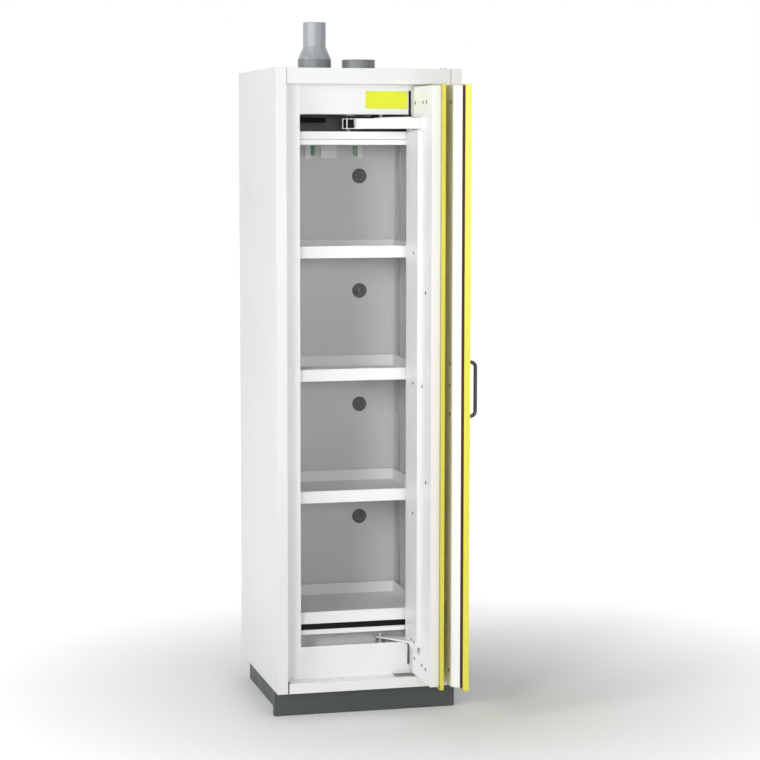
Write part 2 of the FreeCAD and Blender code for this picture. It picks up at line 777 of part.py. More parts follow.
def carrier_plate():
    """Upright plate behind the leaf; its lower edge slants up towards the pivot."""
    y_front = turned_point("left", value("carrier_left"), 0)[1]
    y_back = turned_point("left", value("carrier_right"), 0)[1]
    x = value("left_tray_face - carrier_offset - carrier_sheet")
    low_back = value("lower_plate_low")
    top = value(carrier_top)
    corners = [(y_front, low_back - value("carrier_slant")), (y_back, low_back), (y_back, top), (y_front, top)]
    points = [FreeCAD.Vector(x, y, z) for y, z in corners]
    face = Part.Face(Part.makePolygon(points + points[:1]))
    return shaped(face.extrude(FreeCAD.Vector(value("carrier_sheet"), 0, 0)))


carrier_top = "arm_low - arm_root_margin"
carrier_z = ("lower_plate_low", carrier_top)
neck_z = (carrier_top, "upper_plate_top")
spacer = ("left_leaf_depth", "left_leaf_depth + carrier_offset")
carrier_behind = (spacer[1], "left_leaf_depth + carrier_offset + carrier_sheet")
carrier_flange = leaf_block("left", ("carrier_left", "carrier_left + carrier_sheet"), spacer, carrier_z)
carrier_pad = leaf_block("left", ("carrier_pad_left", "carrier_pad_left + carrier_pad_width"), spacer, carrier_z)
carrier_neck = leaf_block("left", ("swing_plate_left", "carrier_right"), carrier_behind, neck_z)
upper_pin = rod("pivot_pin_radius", "swing_plate + pin_grip", "left_pivot_x", "left_pivot_y", "upper_plate_low")
lower_pin = rod("pivot_pin_radius", "swing_plate + pin_grip + pin_stub", "left_pivot_x", "left_pivot_y",
                "lower_plate_low - pin_grip")
node("swing_frame", fuse(carrier_plate(), carrier_flange, carrier_pad, carrier_neck, upper_pin, lower_pin,
                         swing_plate("upper_plate_low", "upper_plate_top"),
                         swing_plate("lower_plate_low", "lower_plate_top")))

# Box arm from the left leaf to the slider in the curved guide

root_thickness = value("arm_root_thickness")
root = FreeCAD.Vector(*turned_point("left", value("arm_root_x"), value("left_leaf_depth") + root_thickness))
tip = FreeCAD.Vector(*turned_point("left", value("arm_tip_x"), value("arm_tip_depth")))
arm_length = (tip - root).Length
along_arm = (tip - root).normalize()
across_arm = FreeCAD.Vector(-along_arm.y, along_arm.x)
arm_half = value("arm_width / 2")
arm_wall = value("arm_wall")
arm_low = value("arm_low")
arm_high = value("upper_plate_low")
fork_start = arm_length - value("arm_fork")
fork_end = arm_length + value("arm_fork_past_pin")


def arm_bar(start, end, left, right, low, high):
    """A bar along the arm, between two distances from its root and two to its sides."""
    corners = [root + along_arm * start + across_arm * left, root + along_arm * end + across_arm * left,
               root + along_arm * end + across_arm * right, root + along_arm * start + across_arm * right]
    return outline_prism([(corner.x, corner.y) for corner in corners], low, high)


def box_arm():
    """Tube, open fork at its tip and root block; the root is trimmed to the leaf's face."""
    tube = arm_bar(-arm_half, fork_start, -arm_half, arm_half, arm_low, arm_high)
    tube = tube.cut(arm_bar(-arm_half - 1, fork_start - arm_wall, arm_wall - arm_half, arm_half - arm_wall,
                            arm_low + arm_wall, arm_high - arm_wall))
    fork = arm_bar(fork_start, fork_end, -arm_half, arm_half, arm_low, arm_high)
    fork = fork.cut(arm_bar(fork_start + arm_wall, fork_end - arm_wall, arm_wall - arm_half, arm_half + 1,
                            arm_low + arm_wall, arm_high - arm_wall))
    margin = value("arm_root_margin")
    length = value("arm_root_length")
    leaf_side = Part.makeBox(2 * length, 4 * length, arm_high - arm_low + 2,
                             FreeCAD.Vector(root.x, root.y - 2 * length, arm_low - 1))
    root_block = Part.makeBox(root_thickness, length, arm_high - arm_low + 2 * margin,
                              FreeCAD.Vector(root.x, root.y - length / 2, arm_low - margin))
    pin_hole = Part.makeCylinder(value("slider_pin_radius"), arm_high - arm_low + 2,
                                 FreeCAD.Vector(tip.x, tip.y, arm_low - 1))
    return tube.fuse(fork).cut(leaf_side).fuse(root_block).cut(pin_hole).removeSplitter()


def arm_slider():
    """Slider block in the arm's fork with the pin that runs in the guide."""
    half_length = value("slider_length / 2")
    half_width = arm_half - arm_wall - value("slider_side_gap")
    body = arm_bar(arm_length - half_length, fork_end - arm_wall, -half_width, half_width,
                   arm_low + arm_wall, arm_high - arm_wall)
    pin = Part.makeCylinder(value("slider_pin_radius"), value("guide_low + guide_thickness") - arm_low,
                            FreeCAD.Vector(tip.x, tip.y, arm_low))
    return body.fuse(pin).removeSplitter()


node("box_arm", shaped(box_arm()))
node("arm_slider", shaped(arm_slider()))

# Curved guide over the slider

pivot = FreeCAD.Vector(value("left_pivot_x"), value("left_pivot_y"))
guide_radius = (tip - pivot).Length
open_angle = math.degrees(math.atan2(tip.y - pivot.y, tip.x - pivot.x)) % 360
closed_angle = open_angle - 90


def ring_sector(half_width, low, high):
    """Part of a flat ring along the pin's path, half its width past the pin at each end."""
    base = FreeCAD.Vector(pivot.x, pivot.y, low)
    up = FreeCAD.Vector(0, 0, 1)
    past_end = math.degrees(half_width / guide_radius)
    sector = Part.makeCylinder(guide_radius + half_width, high - low, base, up, 90 + 2 * past_end)
    sector = sector.cut(Part.makeCylinder(guide_radius - half_width, high - low, base, up))
    sector.rotate(base, up, closed_angle - past_end)
    return sector


def curved_guide():
    """Slotted ring sector on three posts under the ceiling of the upper compartment."""
    low, high = value("guide_low"), value("guide_low + guide_thickness")
    guide = ring_sector(value("guide_half_width"), low, high)
    guide = guide.cut(ring_sector(value("slider_pin_radius + guide_slot_clearance"), low - 1, high + 1))
    post_radius = value("guide_post_radius")
    reach = guide_radius + value("guide_half_width - guide_post_margin") - post_radius
    for angle in (closed_angle, (closed_angle + open_angle) / 2, open_angle):
        foot = FreeCAD.Vector(pivot.x + reach * math.cos(math.radians(angle)),
                              pivot.y + reach * math.sin(math.radians(angle)), high)
        guide = guide.fuse(Part.makeCylinder(post_radius, value("machine_ceiling") - high, foot))
    return guide.removeSplitter()


node("curved_guide", shaped(curved_guide()))


# Bearings of the swing frame

def on_left_pivot(radius, z):
    """Upright rod on the left pivot's axis between two heights."""
    return rod(radius, f"({z[1]}) - ({z[0]})", "left_pivot_x", "left_pivot_y", z[0])


def pivot_bearing(base_z, column_z, bore_z):
    """Bearing column on a flange, bored for a pin of the swing frame."""
    flange = block(("left_pivot_x - bearing_base_width / 2", "left_pivot_x + bearing_base_width / 2"),
                   ("left_pivot_y - bearing_base_depth / 2", "left_pivot_y + bearing_base_depth / 2"), base_z)
    return cut(fuse(flange, on_left_pivot("bearing_radius", column_z)),
               on_left_pivot("pivot_pin_radius + pin_clearance", bore_z))


node("upper_pivot_bearing", pivot_bearing(("machine_ceiling - bearing_base", "machine_ceiling"),
                                          ("upper_plate_top + bearing_gap", "machine_ceiling"),
                                          ("upper_plate_top", "upper_plate_top + pin_grip + pin_end_gap")))
node("lower_pivot_bearing", pivot_bearing(("sill_top", "sill_top + bearing_base"),
                                          ("sill_top", "lower_plate_low - bearing_gap"),
                                          ("lower_plate_low - pin_grip - pin_end_gap", "lower_plate_low")))

closer_y = ("front + closer_depth", "front + closer_depth + closer_width")
closer_middle = "(closer_low + closer_height / 2)"
closer_body = block(("-inner_half", "closer_right"), closer_y, ("closer_low", "closer_low + closer_height"))
closer_line = block(("closer_groove - inner_half", "closer_right + 1"),
                    (f"{closer_y[0]} - 1", f"{closer_y[0]} + closer_groove"),
                    (f"{closer_middle} - closer_groove / 2", f"{closer_middle} + closer_groove / 2"))
node("closer_rail", cut(closer_body, closer_line))

# Right leaf: yellow outer pan with a rolled hinge edge, core, fire strip and white inner pan

skin_sheet = value("leaf_skin")
hinge_x = value("right_pivot_x")
hinge_depth = value("right_pivot_set")
roll_radius = value("right_pivot_set")
skin_back = value("right_skin_depth")
tray_front = value("right_skin_depth + right_groove")
tray_back = value("right_leaf_depth")


def clear_of_left_leaf(behind):
    """Where an edge must stay, at a depth, to clear the left leaf's outer edge.

    Seen from the right leaf, the left leaf's edge moves inwards and towards the hinge as both
    turn through the same angle: across * sin(turn) - back * (1 - cos(turn)) gives its depth.
    """
    across = hinge_x - left_pin[0]
    back = left_pin[1] - hinge_depth
    turn = math.asin((behind + back) / math.hypot(across, back)) - math.atan2(back, across)
    moved = back * math.sin(turn) + across * (1 - math.cos(turn))
    return value("left_leaf_end + leaf_edge_clearance") + moved


def leaf_prism(points, low, high):
    """Upright prism of the right leaf; its points are given as they lie when closed."""
    return outline_prism([turned_point("right", x, behind) for x, behind in points], low, high)


def slanted_prism(front_edge, back_edge, end, low, high):
    """Leaf prism whose free edge slants; each edge is a pair of X and depth."""
    return leaf_prism([front_edge, (end, front_edge[1]), (end, back_edge[1]), back_edge], low, high)


def straight_prism(x, behind, low, high):
    """Leaf prism with square edges."""
    return leaf_prism([(x[0], behind[0]), (x[1], behind[0]), (x[1], behind[1]), (x[0], behind[1])], low, high)


def hinge_roll(radius, back, low, high):
    """Round hinge edge about the pin, running straight back from the pin's depth."""
    across = (hinge_x - 1, hinge_x + radius)
    x, y = turned_point("right", hinge_x, hinge_depth)
    roll = Part.makeCylinder(radius, high - low, FreeCAD.Vector(x, y, low))
    roll = roll.common(straight_prism(across, (hinge_depth - radius, hinge_depth), low, high))
    return roll.fuse(straight_prism(across, (hinge_depth, back), low, high))


def inside(front_edge, back_edge, sheet):
    """The two ends of a slanted edge moved in by a sheet's thickness."""
    slope = (back_edge[0] - front_edge[0]) / (back_edge[1] - front_edge[1])
    lean = sheet * math.hypot(1, slope)
    return (lambda behind: (front_edge[0] + slope * (behind - front_edge[1]) + lean, behind))


def right_skin():
    """Outer pan: flat face, slanting return at the free edge, hinge edge rolled about the pin."""
    low, high = value("leaf_low"), value("leaf_high")
    inner_low, inner_high = low + skin_sheet, high - skin_sheet
    front_edge = (value("right_leaf_end"), 0)
    back_edge = (clear_of_left_leaf(skin_back), skin_back)
    inner_edge = inside(front_edge, back_edge, skin_sheet)
    pan_blank = slanted_prism(front_edge, back_edge, hinge_x, low, high)
    pan_blank = pan_blank.fuse(hinge_roll(roll_radius, skin_back, low, high))
    hollow = slanted_prism(inner_edge(skin_sheet), inner_edge(skin_back + 1), hinge_x, inner_low, inner_high)
    hollow = hollow.fuse(hinge_roll(roll_radius - skin_sheet, skin_back + 1, inner_low, inner_high))
    x, y = turned_point("right", hinge_x, hinge_depth)
    pin_hole = Part.makeCylinder(value("pivot_pin_radius + pin_hole_margin"), high - low + 2,
                                 FreeCAD.Vector(x, y, low - 1))
    return pan_blank.cut(hollow).cut(pin_hole).removeSplitter()


tray_front_edge = (clear_of_left_leaf(tray_front), tray_front)
tray_back_edge = (clear_of_left_leaf(tray_back), tray_back)


def right_tray():
    """Inner pan of the right leaf, open towards the outer pan."""
    low, high = value("tray_low"), value("tray_high")
    end = value("right_pivot_x + right_tray_past_pivot")
    inner_edge = inside(tray_front_edge, tray_back_edge, skin_sheet)
    pan_blank = slanted_prism(tray_front_edge, tray_back_edge, end, low, high)
    hollow = slanted_prism(inner_edge(tray_front - 1), inner_edge(tray_back - skin_sheet), end - skin_sheet,
                           low + skin_sheet, high - skin_sheet)
    return pan_blank.cut(hollow)


core_start = tray_back_edge[0] + 2 * skin_sheet
core_end = value("right_pivot_x - shoe_radius - right_core_gap")


def right_core():
    """Insulating core between the two pans."""
    return straight_prism((core_start, core_end), (skin_sheet, tray_back - skin_sheet),
                          value("tray_low + leaf_skin"), value("tray_high - leaf_skin"))


def fire_strip():
    """Swelling strip along the groove between the pans: free edge, top and bottom."""
    low, high = value("tray_low"), value("tray_high")
    width = value("fire_strip_width")
    start = tray_front_edge[0]
    ring = straight_prism((start, core_end), (skin_back, tray_front), low, high)
    core_room = straight_prism((core_start, core_end + 1), (skin_back - 1, tray_front + 1),
                               low + skin_sheet, high - skin_sheet)
    behind_strip = straight_prism((start + width, core_start + 1), (skin_back - 1, tray_front + 1),
                                  low + width, high - width)
    return ring.cut(core_room).cut(behind_strip).removeSplitter()


node("right_leaf_skin", shaped(right_skin()))
node("right_leaf_tray", shaped(right_tray()))
node("right_leaf_core", shaped(right_core()))
node("right_leaf_strip", shaped(fire_strip()))


def on_right_pivot(radius, low, length):
    """Upright rod on the right pivot's axis."""
    return rod(radius, length, "right_pivot_x", "right_pivot_y", low)


def jamb_pin(plate_low, pin_low):
    """Hinge pin on a plate, fixed to the sill or under the fascia."""
    plate = block(("right_pivot_x - pin_plate_width / 2", "jamb - sill_end_gap"),
                  ("front + casing_sheet", "front + casing_sheet + pin_plate_depth"),
                  (plate_low, f"{plate_low} + pin_plate"))
    return fuse(plate, on_right_pivot("pivot_pin_radius", pin_low, "jamb_pin_length + pin_plate"))


node("jamb_pins", group([jamb_pin("sill_top", "sill_top"),
                         jamb_pin("fascia_low - pin_plate", "fascia_low - pin_plate - jamb_pin_length")]))


def pivot_shoe(low):
    """Bored shoe inside the rolled edge that turns on a jamb pin."""
    return cut(on_right_pivot("shoe_radius", low, "shoe_height"),
               on_right_pivot("pivot_pin_radius + pin_clearance", f"{low} - 1", "shoe_height + 2"))


node("pivot_shoes", group([pivot_shoe("leaf_low + leaf_skin"),
                           pivot_shoe("leaf_high - leaf_skin - shoe_height")]))


def bow_handle():
    """Round bow handle: two legs and a grip, with bent corners."""
    face_x, y = turned_point("right", value("handle_x"), 0)
    middle, half = value("handle_height"), value("handle_pitch / 2")
    bend = value("handle_bend")
    grip_x = face_x + value("handle_reach")
    corner = bend * (1 - math.sqrt(0.5))

    def half_path(side):
        leg = FreeCAD.Vector(face_x, y, middle + side * half)
        leg_end = FreeCAD.Vector(grip_x - bend, y, middle + side * half)
        mid_bend = FreeCAD.Vector(grip_x - corner, y, middle + side * (half - corner))
        grip_end = FreeCAD.Vector(grip_x, y, middle + side * (half - bend))
        return leg, leg_end, mid_bend, grip_end

    low_leg, low_leg_end, low_bend, low_grip = half_path(-1)
    high_leg, high_leg_end, high_bend, high_grip = half_path(1)
    path = Part.Wire([
        Part.LineSegment(low_leg, low_leg_end).toShape(),
        Part.Arc(low_leg_end, low_bend, low_grip).toShape(),
        Part.LineSegment(low_grip, high_grip).toShape(),
        Part.Arc(high_grip, high_bend, high_leg_end).toShape(),
        Part.LineSegment(high_leg_end, high_leg).toShape(),
    ])
    ring = Part.Wire(Part.makeCircle(value("handle_radius"), low_leg, FreeCAD.Vector(1, 0, 0)))
    return path.makePipeShell([ring], True, False)


node("bow_handle", shaped(bow_handle()))

# Catch plate with slots on the sill tread

catch_y = ("front + catch_front", "frame_front")
catch_plate = block(("catch_left", "catch_right"), catch_y, ("sill_top", "sill_top + catch_sheet"))
catch_slots = []
for step in (-1, 0, 1):
    middle_x = f"((catch_left + catch_right) / 2 + {step} * catch_slot_pitch)"
    middle_y = f"(({catch_y[0]} + {catch_y[1]}) / 2)"
    catch_slots.append(block((f"{middle_x} - catch_slot_length / 2", f"{middle_x} + catch_slot_length / 2"),
                             (f"{middle_y} - catch_slot_width / 2", f"{middle_y} + catch_slot_width / 2"),
                             ("sill_top - 1", "sill_top + catch_sheet + 1")))
node("catch_plate", cut(catch_plate, *catch_slots))

# Check every object, then write one file for each sub-part

doc.recompute()
for thing in doc.Objects:
    if "Invalid" in thing.State or "Error" in thing.State:
        raise RuntimeError(f"{thing.Label} failed: {thing.State}")
for label, thing in nodes.items():
    if thing.Shape.isNull() or not thing.Shape.isValid() or not thing.Shape.Solids:
        raise RuntimeError(f"{label} has no valid solid")
for label, thing in nodes.items():
    thing.Shape.exportStep(f"parts/{label}.step")
print(len(nodes), "sub-parts written")
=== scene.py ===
# %% [markdown]
# A ventilated safety cabinet for flammable liquids, dressed for a picture
# The imported model gives every sheet, board, tray and leaf at its real size. This lesson adds what a
# solid model leaves out: paint, zinc, plastic and glass finishes, screws, valve discs, rims, hems and
# seam cords, dark as painted shade, plus a camera and soft studio light. Units are metres, X runs to the
# right, Y to the back and Z up. Lists of places are given in millimetres, which read more easily, and
# turned into metres.

import json
import math

import bmesh
import bpy
from mathutils import Matrix, Vector


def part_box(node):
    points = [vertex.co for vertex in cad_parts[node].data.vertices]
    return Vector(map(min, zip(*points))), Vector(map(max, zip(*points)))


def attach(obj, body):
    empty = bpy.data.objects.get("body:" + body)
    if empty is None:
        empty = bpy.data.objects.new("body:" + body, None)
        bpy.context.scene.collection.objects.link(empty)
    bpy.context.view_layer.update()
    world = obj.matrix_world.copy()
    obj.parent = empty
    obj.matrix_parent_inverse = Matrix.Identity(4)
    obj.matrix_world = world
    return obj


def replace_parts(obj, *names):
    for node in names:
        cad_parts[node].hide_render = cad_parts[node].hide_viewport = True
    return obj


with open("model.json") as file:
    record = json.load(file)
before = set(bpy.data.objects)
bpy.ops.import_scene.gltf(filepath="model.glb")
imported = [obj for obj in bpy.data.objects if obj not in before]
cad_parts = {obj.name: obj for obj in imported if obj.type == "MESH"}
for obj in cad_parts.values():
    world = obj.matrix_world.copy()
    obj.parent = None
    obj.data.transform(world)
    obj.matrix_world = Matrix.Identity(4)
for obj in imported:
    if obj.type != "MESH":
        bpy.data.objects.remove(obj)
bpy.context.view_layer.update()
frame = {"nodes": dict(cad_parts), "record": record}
nodes = frame["nodes"]

# %% [markdown]
# The camera stands where the photographer stood: about seven metres in front of the cabinet, a little
# to the left and at chest height. A long lens at that distance keeps upright edges nearly parallel.
# Its three turns are set as a rotation matrix, because a track-to constraint would lose the roll.

# %% Camera at the photograph's angle
MM = 0.001
FOCAL_PIXELS = 2271.41
SENSOR = 36.0
PICTURE_SIDE = 760
YAW, PITCH, ROLL = math.radians(14.251), math.radians(5.919), math.radians(0.061)
CAMERA_PLACE = Vector((-1733.28, -7269.17, 1830.32)) * MM

forward = Vector((math.sin(YAW) * math.cos(PITCH), math.cos(YAW) * math.cos(PITCH), -math.sin(PITCH)))
level_right = Vector((math.cos(YAW), -math.sin(YAW), 0.0))
level_up = level_right.cross(forward)
right = level_right * math.cos(ROLL) + level_up * math.sin(ROLL)
up = right.cross(forward)

camera_data = bpy.data.cameras.new("photo_camera")
camera_data.sensor_width = SENSOR
camera_data.lens = SENSOR * FOCAL_PIXELS / PICTURE_SIDE
camera_data.clip_start, camera_data.clip_end = 0.1, 100
camera = bpy.data.objects.new("photo_camera", camera_data)
bpy.context.scene.collection.objects.link(camera)
camera.matrix_world = Matrix((
    (right.x, up.x, -forward.x, CAMERA_PLACE.x),
    (right.y, up.y, -forward.y, CAMERA_PLACE.y),
    (right.z, up.z, -forward.z, CAMERA_PLACE.z),
    (0, 0, 0, 1),
))
bpy.context.scene.camera = camera
print("lens in mm:", round(camera_data.lens, 1))

# %% [markdown]
# Every finish below is a small node tree on Object coordinates, so a pattern stays with its piece when
# a leaf swings. The tree could be drawn by hand in the shader editor. Here a short helper wires nodes
# by name, and each finish says only what is special about it: its colour, its grain and its wear.

# %% A finish is a shader with helpers to wire it
class Finish:
    """A material whose pattern reads the piece's own Object coordinates."""

    def __init__(self, name, **constants):
        self.material = bpy.data.materials.new(name)
        self.material.use_nodes = True
        self.tree = self.material.node_tree
        self.tree.nodes.clear()
        self.shader = self.add("ShaderNodeBsdfPrincipled")
        output = self.add("ShaderNodeOutputMaterial")
        self.link(self.shader, "BSDF", output, "Surface")
        self.place = self.add("ShaderNodeTexCoord").outputs["Object"]
        for socket, constant in constants.items():
            self.shader.inputs[socket.replace("_", " ")].default_value = constant

    def add(self, kind, **settings):
        node = self.tree.nodes.new(kind)
        for key, setting in settings.items():
            setattr(node, key, setting)
        return node

    def link(self, source, output, target, socket):
        self.tree.links.new(source.outputs[output], target.inputs[socket])

    def scaled(self, x, y, z):
        """Object coordinates stretched per axis, for streaks and brushed grain."""
        mapping = self.add("ShaderNodeMapping")
        mapping.inputs["Scale"].default_value = (x, y, z)
        self.tree.links.new(self.place, mapping.inputs["Vector"])
        return mapping.outputs["Vector"]

    def noise(self, scale, detail=2.0, roughness=0.5, where=None):
        node = self.add("ShaderNodeTexNoise")
        node.inputs["Scale"].default_value = scale
        node.inputs["Detail"].default_value = detail
        node.inputs["Roughness"].default_value = roughness
        self.tree.links.new(where or self.place, node.inputs["Vector"])
        return node.outputs["Fac"]

    def cells(self, scale, output="Distance"):
        node = self.add("ShaderNodeTexVoronoi")
        node.inputs["Scale"].default_value = scale
        self.tree.links.new(self.place, node.inputs["Vector"])
        return node.outputs[output]

    def spread(self, value, low, high, out_low, out_high):
        """Stretch the part of a value between low and high to a new range."""
        node = self.add("ShaderNodeMapRange")
        sockets = ("From Min", "From Max", "To Min", "To Max")
        for socket, number in zip(sockets, (low, high, out_low, out_high)):
            node.inputs[socket].default_value = number
        self.tree.links.new(value, node.inputs["Value"])
        return node.outputs["Result"]

    def blend(self, share, first, second):
        """Mix two colours, or a colour with what a socket gives."""
        node = self.add("ShaderNodeMix", data_type="RGBA")
        self.tree.links.new(share, node.inputs["Factor"])
        for socket, colour in ((node.inputs[6], first), (node.inputs[7], second)):
            if isinstance(colour, bpy.types.NodeSocket):
                self.tree.links.new(colour, socket)
            else:
                socket.default_value = (*colour, 1.0)
        return node.outputs[2]

    def folds(self, radius):
        """The normal of a softly rounded edge, and how near a fold or rim the surface is."""
        bevel = self.add("ShaderNodeBevel", samples=4)
        bevel.inputs["Radius"].default_value = radius
        geometry = self.add("ShaderNodeNewGeometry")
        dot = self.add("ShaderNodeVectorMath", operation="DOT_PRODUCT")
        self.link(bevel, "Normal", dot, 0)
        self.link(geometry, "Normal", dot, 1)
        return bevel.outputs["Normal"], self.spread(dot.outputs["Value"], 0.75, 0.99, 1.0, 0.0)

    def bumps(self, height, strength, distance, base=None):
        node = self.add("ShaderNodeBump")
        node.inputs["Strength"].default_value = strength
        node.inputs["Distance"].default_value = distance
        self.tree.links.new(height, node.inputs["Height"])
        if base is not None:
            self.tree.links.new(base, node.inputs["Normal"])
        return node.outputs["Normal"]

    def along(self, axis, low, high):
        """Nought to one between two places on an axis of the piece."""
        parts = self.add("ShaderNodeSeparateXYZ")
        self.tree.links.new(self.place, parts.inputs["Vector"])
        return self.spread(parts.outputs[axis], low, high, 0.0, 1.0)

    def set(self, socket, value):
        self.tree.links.new(value, self.shader.inputs[socket])


# %% [markdown]
# Powder coat is sprayed as a dry powder and melts into a film with a fine orange peel. It could be
# one flat colour, but real coats vary: slightly thinner and paler on folds, a touch duller where hands
# and cloths rub. The peel is a fine noise bump, the folds come from a Bevel node, and broad noise
# moves colour and roughness by a few percent.

# %% Powder-coat finishes
PEEL_SCALE, PEEL_DEPTH = 620, 0.0004
BRIGHTEST = 0.98


def powder_coat(name, colour, rough=(0.32, 0.42), peel=0.14, fold_tint=1.03, soil=0.965, second=None,
                **constants):
    """Painted sheet steel: orange peel, mottled gloss, folds a shade off the flat faces.
    A second colour starts between two places on an axis: (axis, low, high, colour)."""
    coat = Finish(name, **constants)
    normal, near_fold = coat.folds(0.0008)
    broad = coat.noise(2.3, 4)
    soiled, bare_fold = (tuple(min(channel * factor, BRIGHTEST) for channel in colour)
                         for factor in (soil, fold_tint))
    mottled = coat.blend(coat.spread(broad, 0.35, 0.68, 0, 1), soiled, colour)
    if second:
        mottled = coat.blend(coat.along(*second[:3]), mottled, second[3])
    coat.set("Base Color", coat.blend(coat.spread(near_fold, 0, 1, 0, 0.6), mottled, bare_fold))
    coat.set("Roughness", coat.spread(coat.noise(9, 4), 0.3, 0.7, *rough))
    coat.set("Normal", coat.bumps(coat.noise(PEEL_SCALE, 2), peel, PEEL_DEPTH, normal))
    return coat.material


# From this height up only the screen in front of the ducts is left, and the brackets' paint turns dark
# grey there: painted shade for the deep shade that the screen stands in.
SCREEN_SHADE_FOOT = 1.869
finishes = {
    "white_paint": powder_coat("white_paint", (0.80, 0.81, 0.81), IOR=1.5),
    "shelf_paint": powder_coat("shelf_paint", (0.91, 0.915, 0.91), rough=(0.30, 0.40), peel=0.04, IOR=1.5),
    # The damper brackets' paint, dark grey above the screen's foot as painted shade on the screen.
    "bracket_paint_screen_shade": powder_coat("bracket_paint_screen_shade", (0.86, 0.865, 0.86), rough=(0.30, 0.40), peel=0.04,
                                 second=("Z", SCREEN_SHADE_FOOT, SCREEN_SHADE_FOOT + 0.001, (0.13, 0.13, 0.13)), IOR=1.5),
    # A copy of the white paint a tenth lighter: painted light on the frame, the sill and the leaf trays.
    "white_paint_painted_light": powder_coat("white_paint_painted_light", (0.88, 0.88, 0.875), rough=(0.3, 0.4), peel=0.12,
                                fold_tint=1.02, IOR=1.5),
    "yellow_paint": powder_coat("yellow_paint", (0.74, 0.69, 0.062), rough=(0.3, 0.4),
                                fold_tint=1.06, IOR=1.5),
    "label_film": powder_coat("label_film", (0.74, 0.78, 0.02), rough=(0.29, 0.35), peel=0.03, IOR=1.5),
    "plinth_paint": powder_coat("plinth_paint", (0.068, 0.077, 0.077), rough=(0.42, 0.55), peel=0.25,
                                fold_tint=1.35, soil=0.88, IOR=1.5),
    "dark_paint": powder_coat("dark_paint", (0.055, 0.055, 0.060), rough=(0.28, 0.4), fold_tint=1.5,
                              soil=0.9, IOR=1.5),
}
print("powder coats:", sorted(finishes))

# %% [markdown]
# Zinc-coated sheet shows spangles, the flat crystals that form as the zinc cools. Voronoi cells are
# the natural node for them: each cell gets its own shade and its own gloss. A long stretched noise on
# top leaves the faint rolling lines of the sheet.

# %% Zinc-coated steel
def shaded(colour, factor):
    return tuple(min(channel * factor, 1.0) for channel in colour)


def spangled_zinc(name, colour, cell=170.0):
    zinc = Finish(name, Metallic=0.9)
    shade = zinc.add("ShaderNodeSeparateColor")
    zinc.tree.links.new(zinc.cells(cell, "Color"), shade.inputs["Color"])
    crystal = shade.outputs["Red"]
    lines = zinc.noise(1, 3, where=zinc.scaled(40, 40, 900))
    dark, light = shaded(colour, 0.82), shaded(colour, 1.12)
    zinc.set("Base Color", zinc.blend(zinc.spread(crystal, 0, 1, 0, 1), dark, light))
    zinc.set("Roughness", zinc.spread(crystal, 0, 1, 0.3, 0.46))
    zinc.set("Normal", zinc.bumps(lines, 0.08, 0.0003, zinc.folds(0.0005)[0]))
    return zinc.material


finishes["galvanised_steel"] = spangled_zinc("galvanised_steel", (0.55, 0.56, 0.57))
finishes["bright_steel"] = spangled_zinc("bright_steel", (0.62, 0.62, 0.61), cell=900.0)
finishes["worn_steel"] = spangled_zinc("worn_steel", (0.17, 0.17, 0.165), cell=420.0)

# %% [markdown]
# Moulded plastics carry a fine spark-erosion texture from the tool, and their rims are a shade lighter,
# a painted sheen. They could share one material with a colour input, but the roof collars, the paler
# reducer and the black stand each have their own gloss, so a helper makes one finish for each.

# %% Moulded plastics
def moulded_plastic(name, colour, rough, spark=0.2, streak=0.0, ior=1.46):
    plastic = Finish(name, IOR=ior)
    normal, painted_rim_sheen = plastic.folds(0.0007)
    cloud = plastic.noise(14, 4)
    upright = plastic.noise(1, 3, where=plastic.scaled(70, 70, 2.5))
    low, high = shaded(colour, 0.92 - streak), shaded(colour, 1.05 + streak)
    flat = plastic.blend(plastic.spread(upright if streak else cloud, 0.3, 0.7, 0, 1), low, high)
    # The rims are lighter in colour: a painted sheen.
    plastic.set("Base Color", plastic.blend(plastic.spread(painted_rim_sheen, 0, 1, 0, 0.5), flat, high))
    plastic.set("Roughness", plastic.spread(cloud, 0.3, 0.7, rough - 0.05, rough + 0.06))
    plastic.set("Normal", plastic.bumps(plastic.noise(1500, 2), spark, 0.0002, normal))
    return plastic.material


finishes["grey_plastic"] = moulded_plastic("grey_plastic", (0.20, 0.215, 0.22), 0.38, streak=0.05)
finishes["pale_plastic"] = moulded_plastic("pale_plastic", (0.37, 0.395, 0.41), 0.34, streak=0.06)
finishes["vent_plastic"] = moulded_plastic("vent_plastic", (0.13, 0.133, 0.135), 0.45)
finishes["black_plastic"] = moulded_plastic("black_plastic", (0.005, 0.0055, 0.0055), 0.55, ior=1.22)

# %% [markdown]
# Boards: the visible lining is a resin-faced laminate with a fine pearl grain, while the fire boards
# inside the walls are pressed mineral fibre. Noise at two scales gives the laminate its faint cloud,
# and a speckle of tiny cells gives the raw board its fibres and pores.

# %% Laminate lining and raw fire board
def laminate(name, colour):
    board = Finish(name, IOR=1.5)
    cloud, grain = board.noise(5, 3), board.noise(260, 3, 0.7)
    shade = board.blend(board.spread(cloud, 0.3, 0.7, 0, 1), shaded(colour, 0.95), colour)
    board.set("Base Color", board.blend(board.spread(grain, 0.62, 0.8, 0, 0.5), shade, shaded(colour, 0.9)))
    board.set("Roughness", board.spread(grain, 0.3, 0.7, 0.38, 0.5))
    board.set("Normal", board.bumps(grain, 0.1, 0.0002, board.folds(0.0006)[0]))
    return board.material


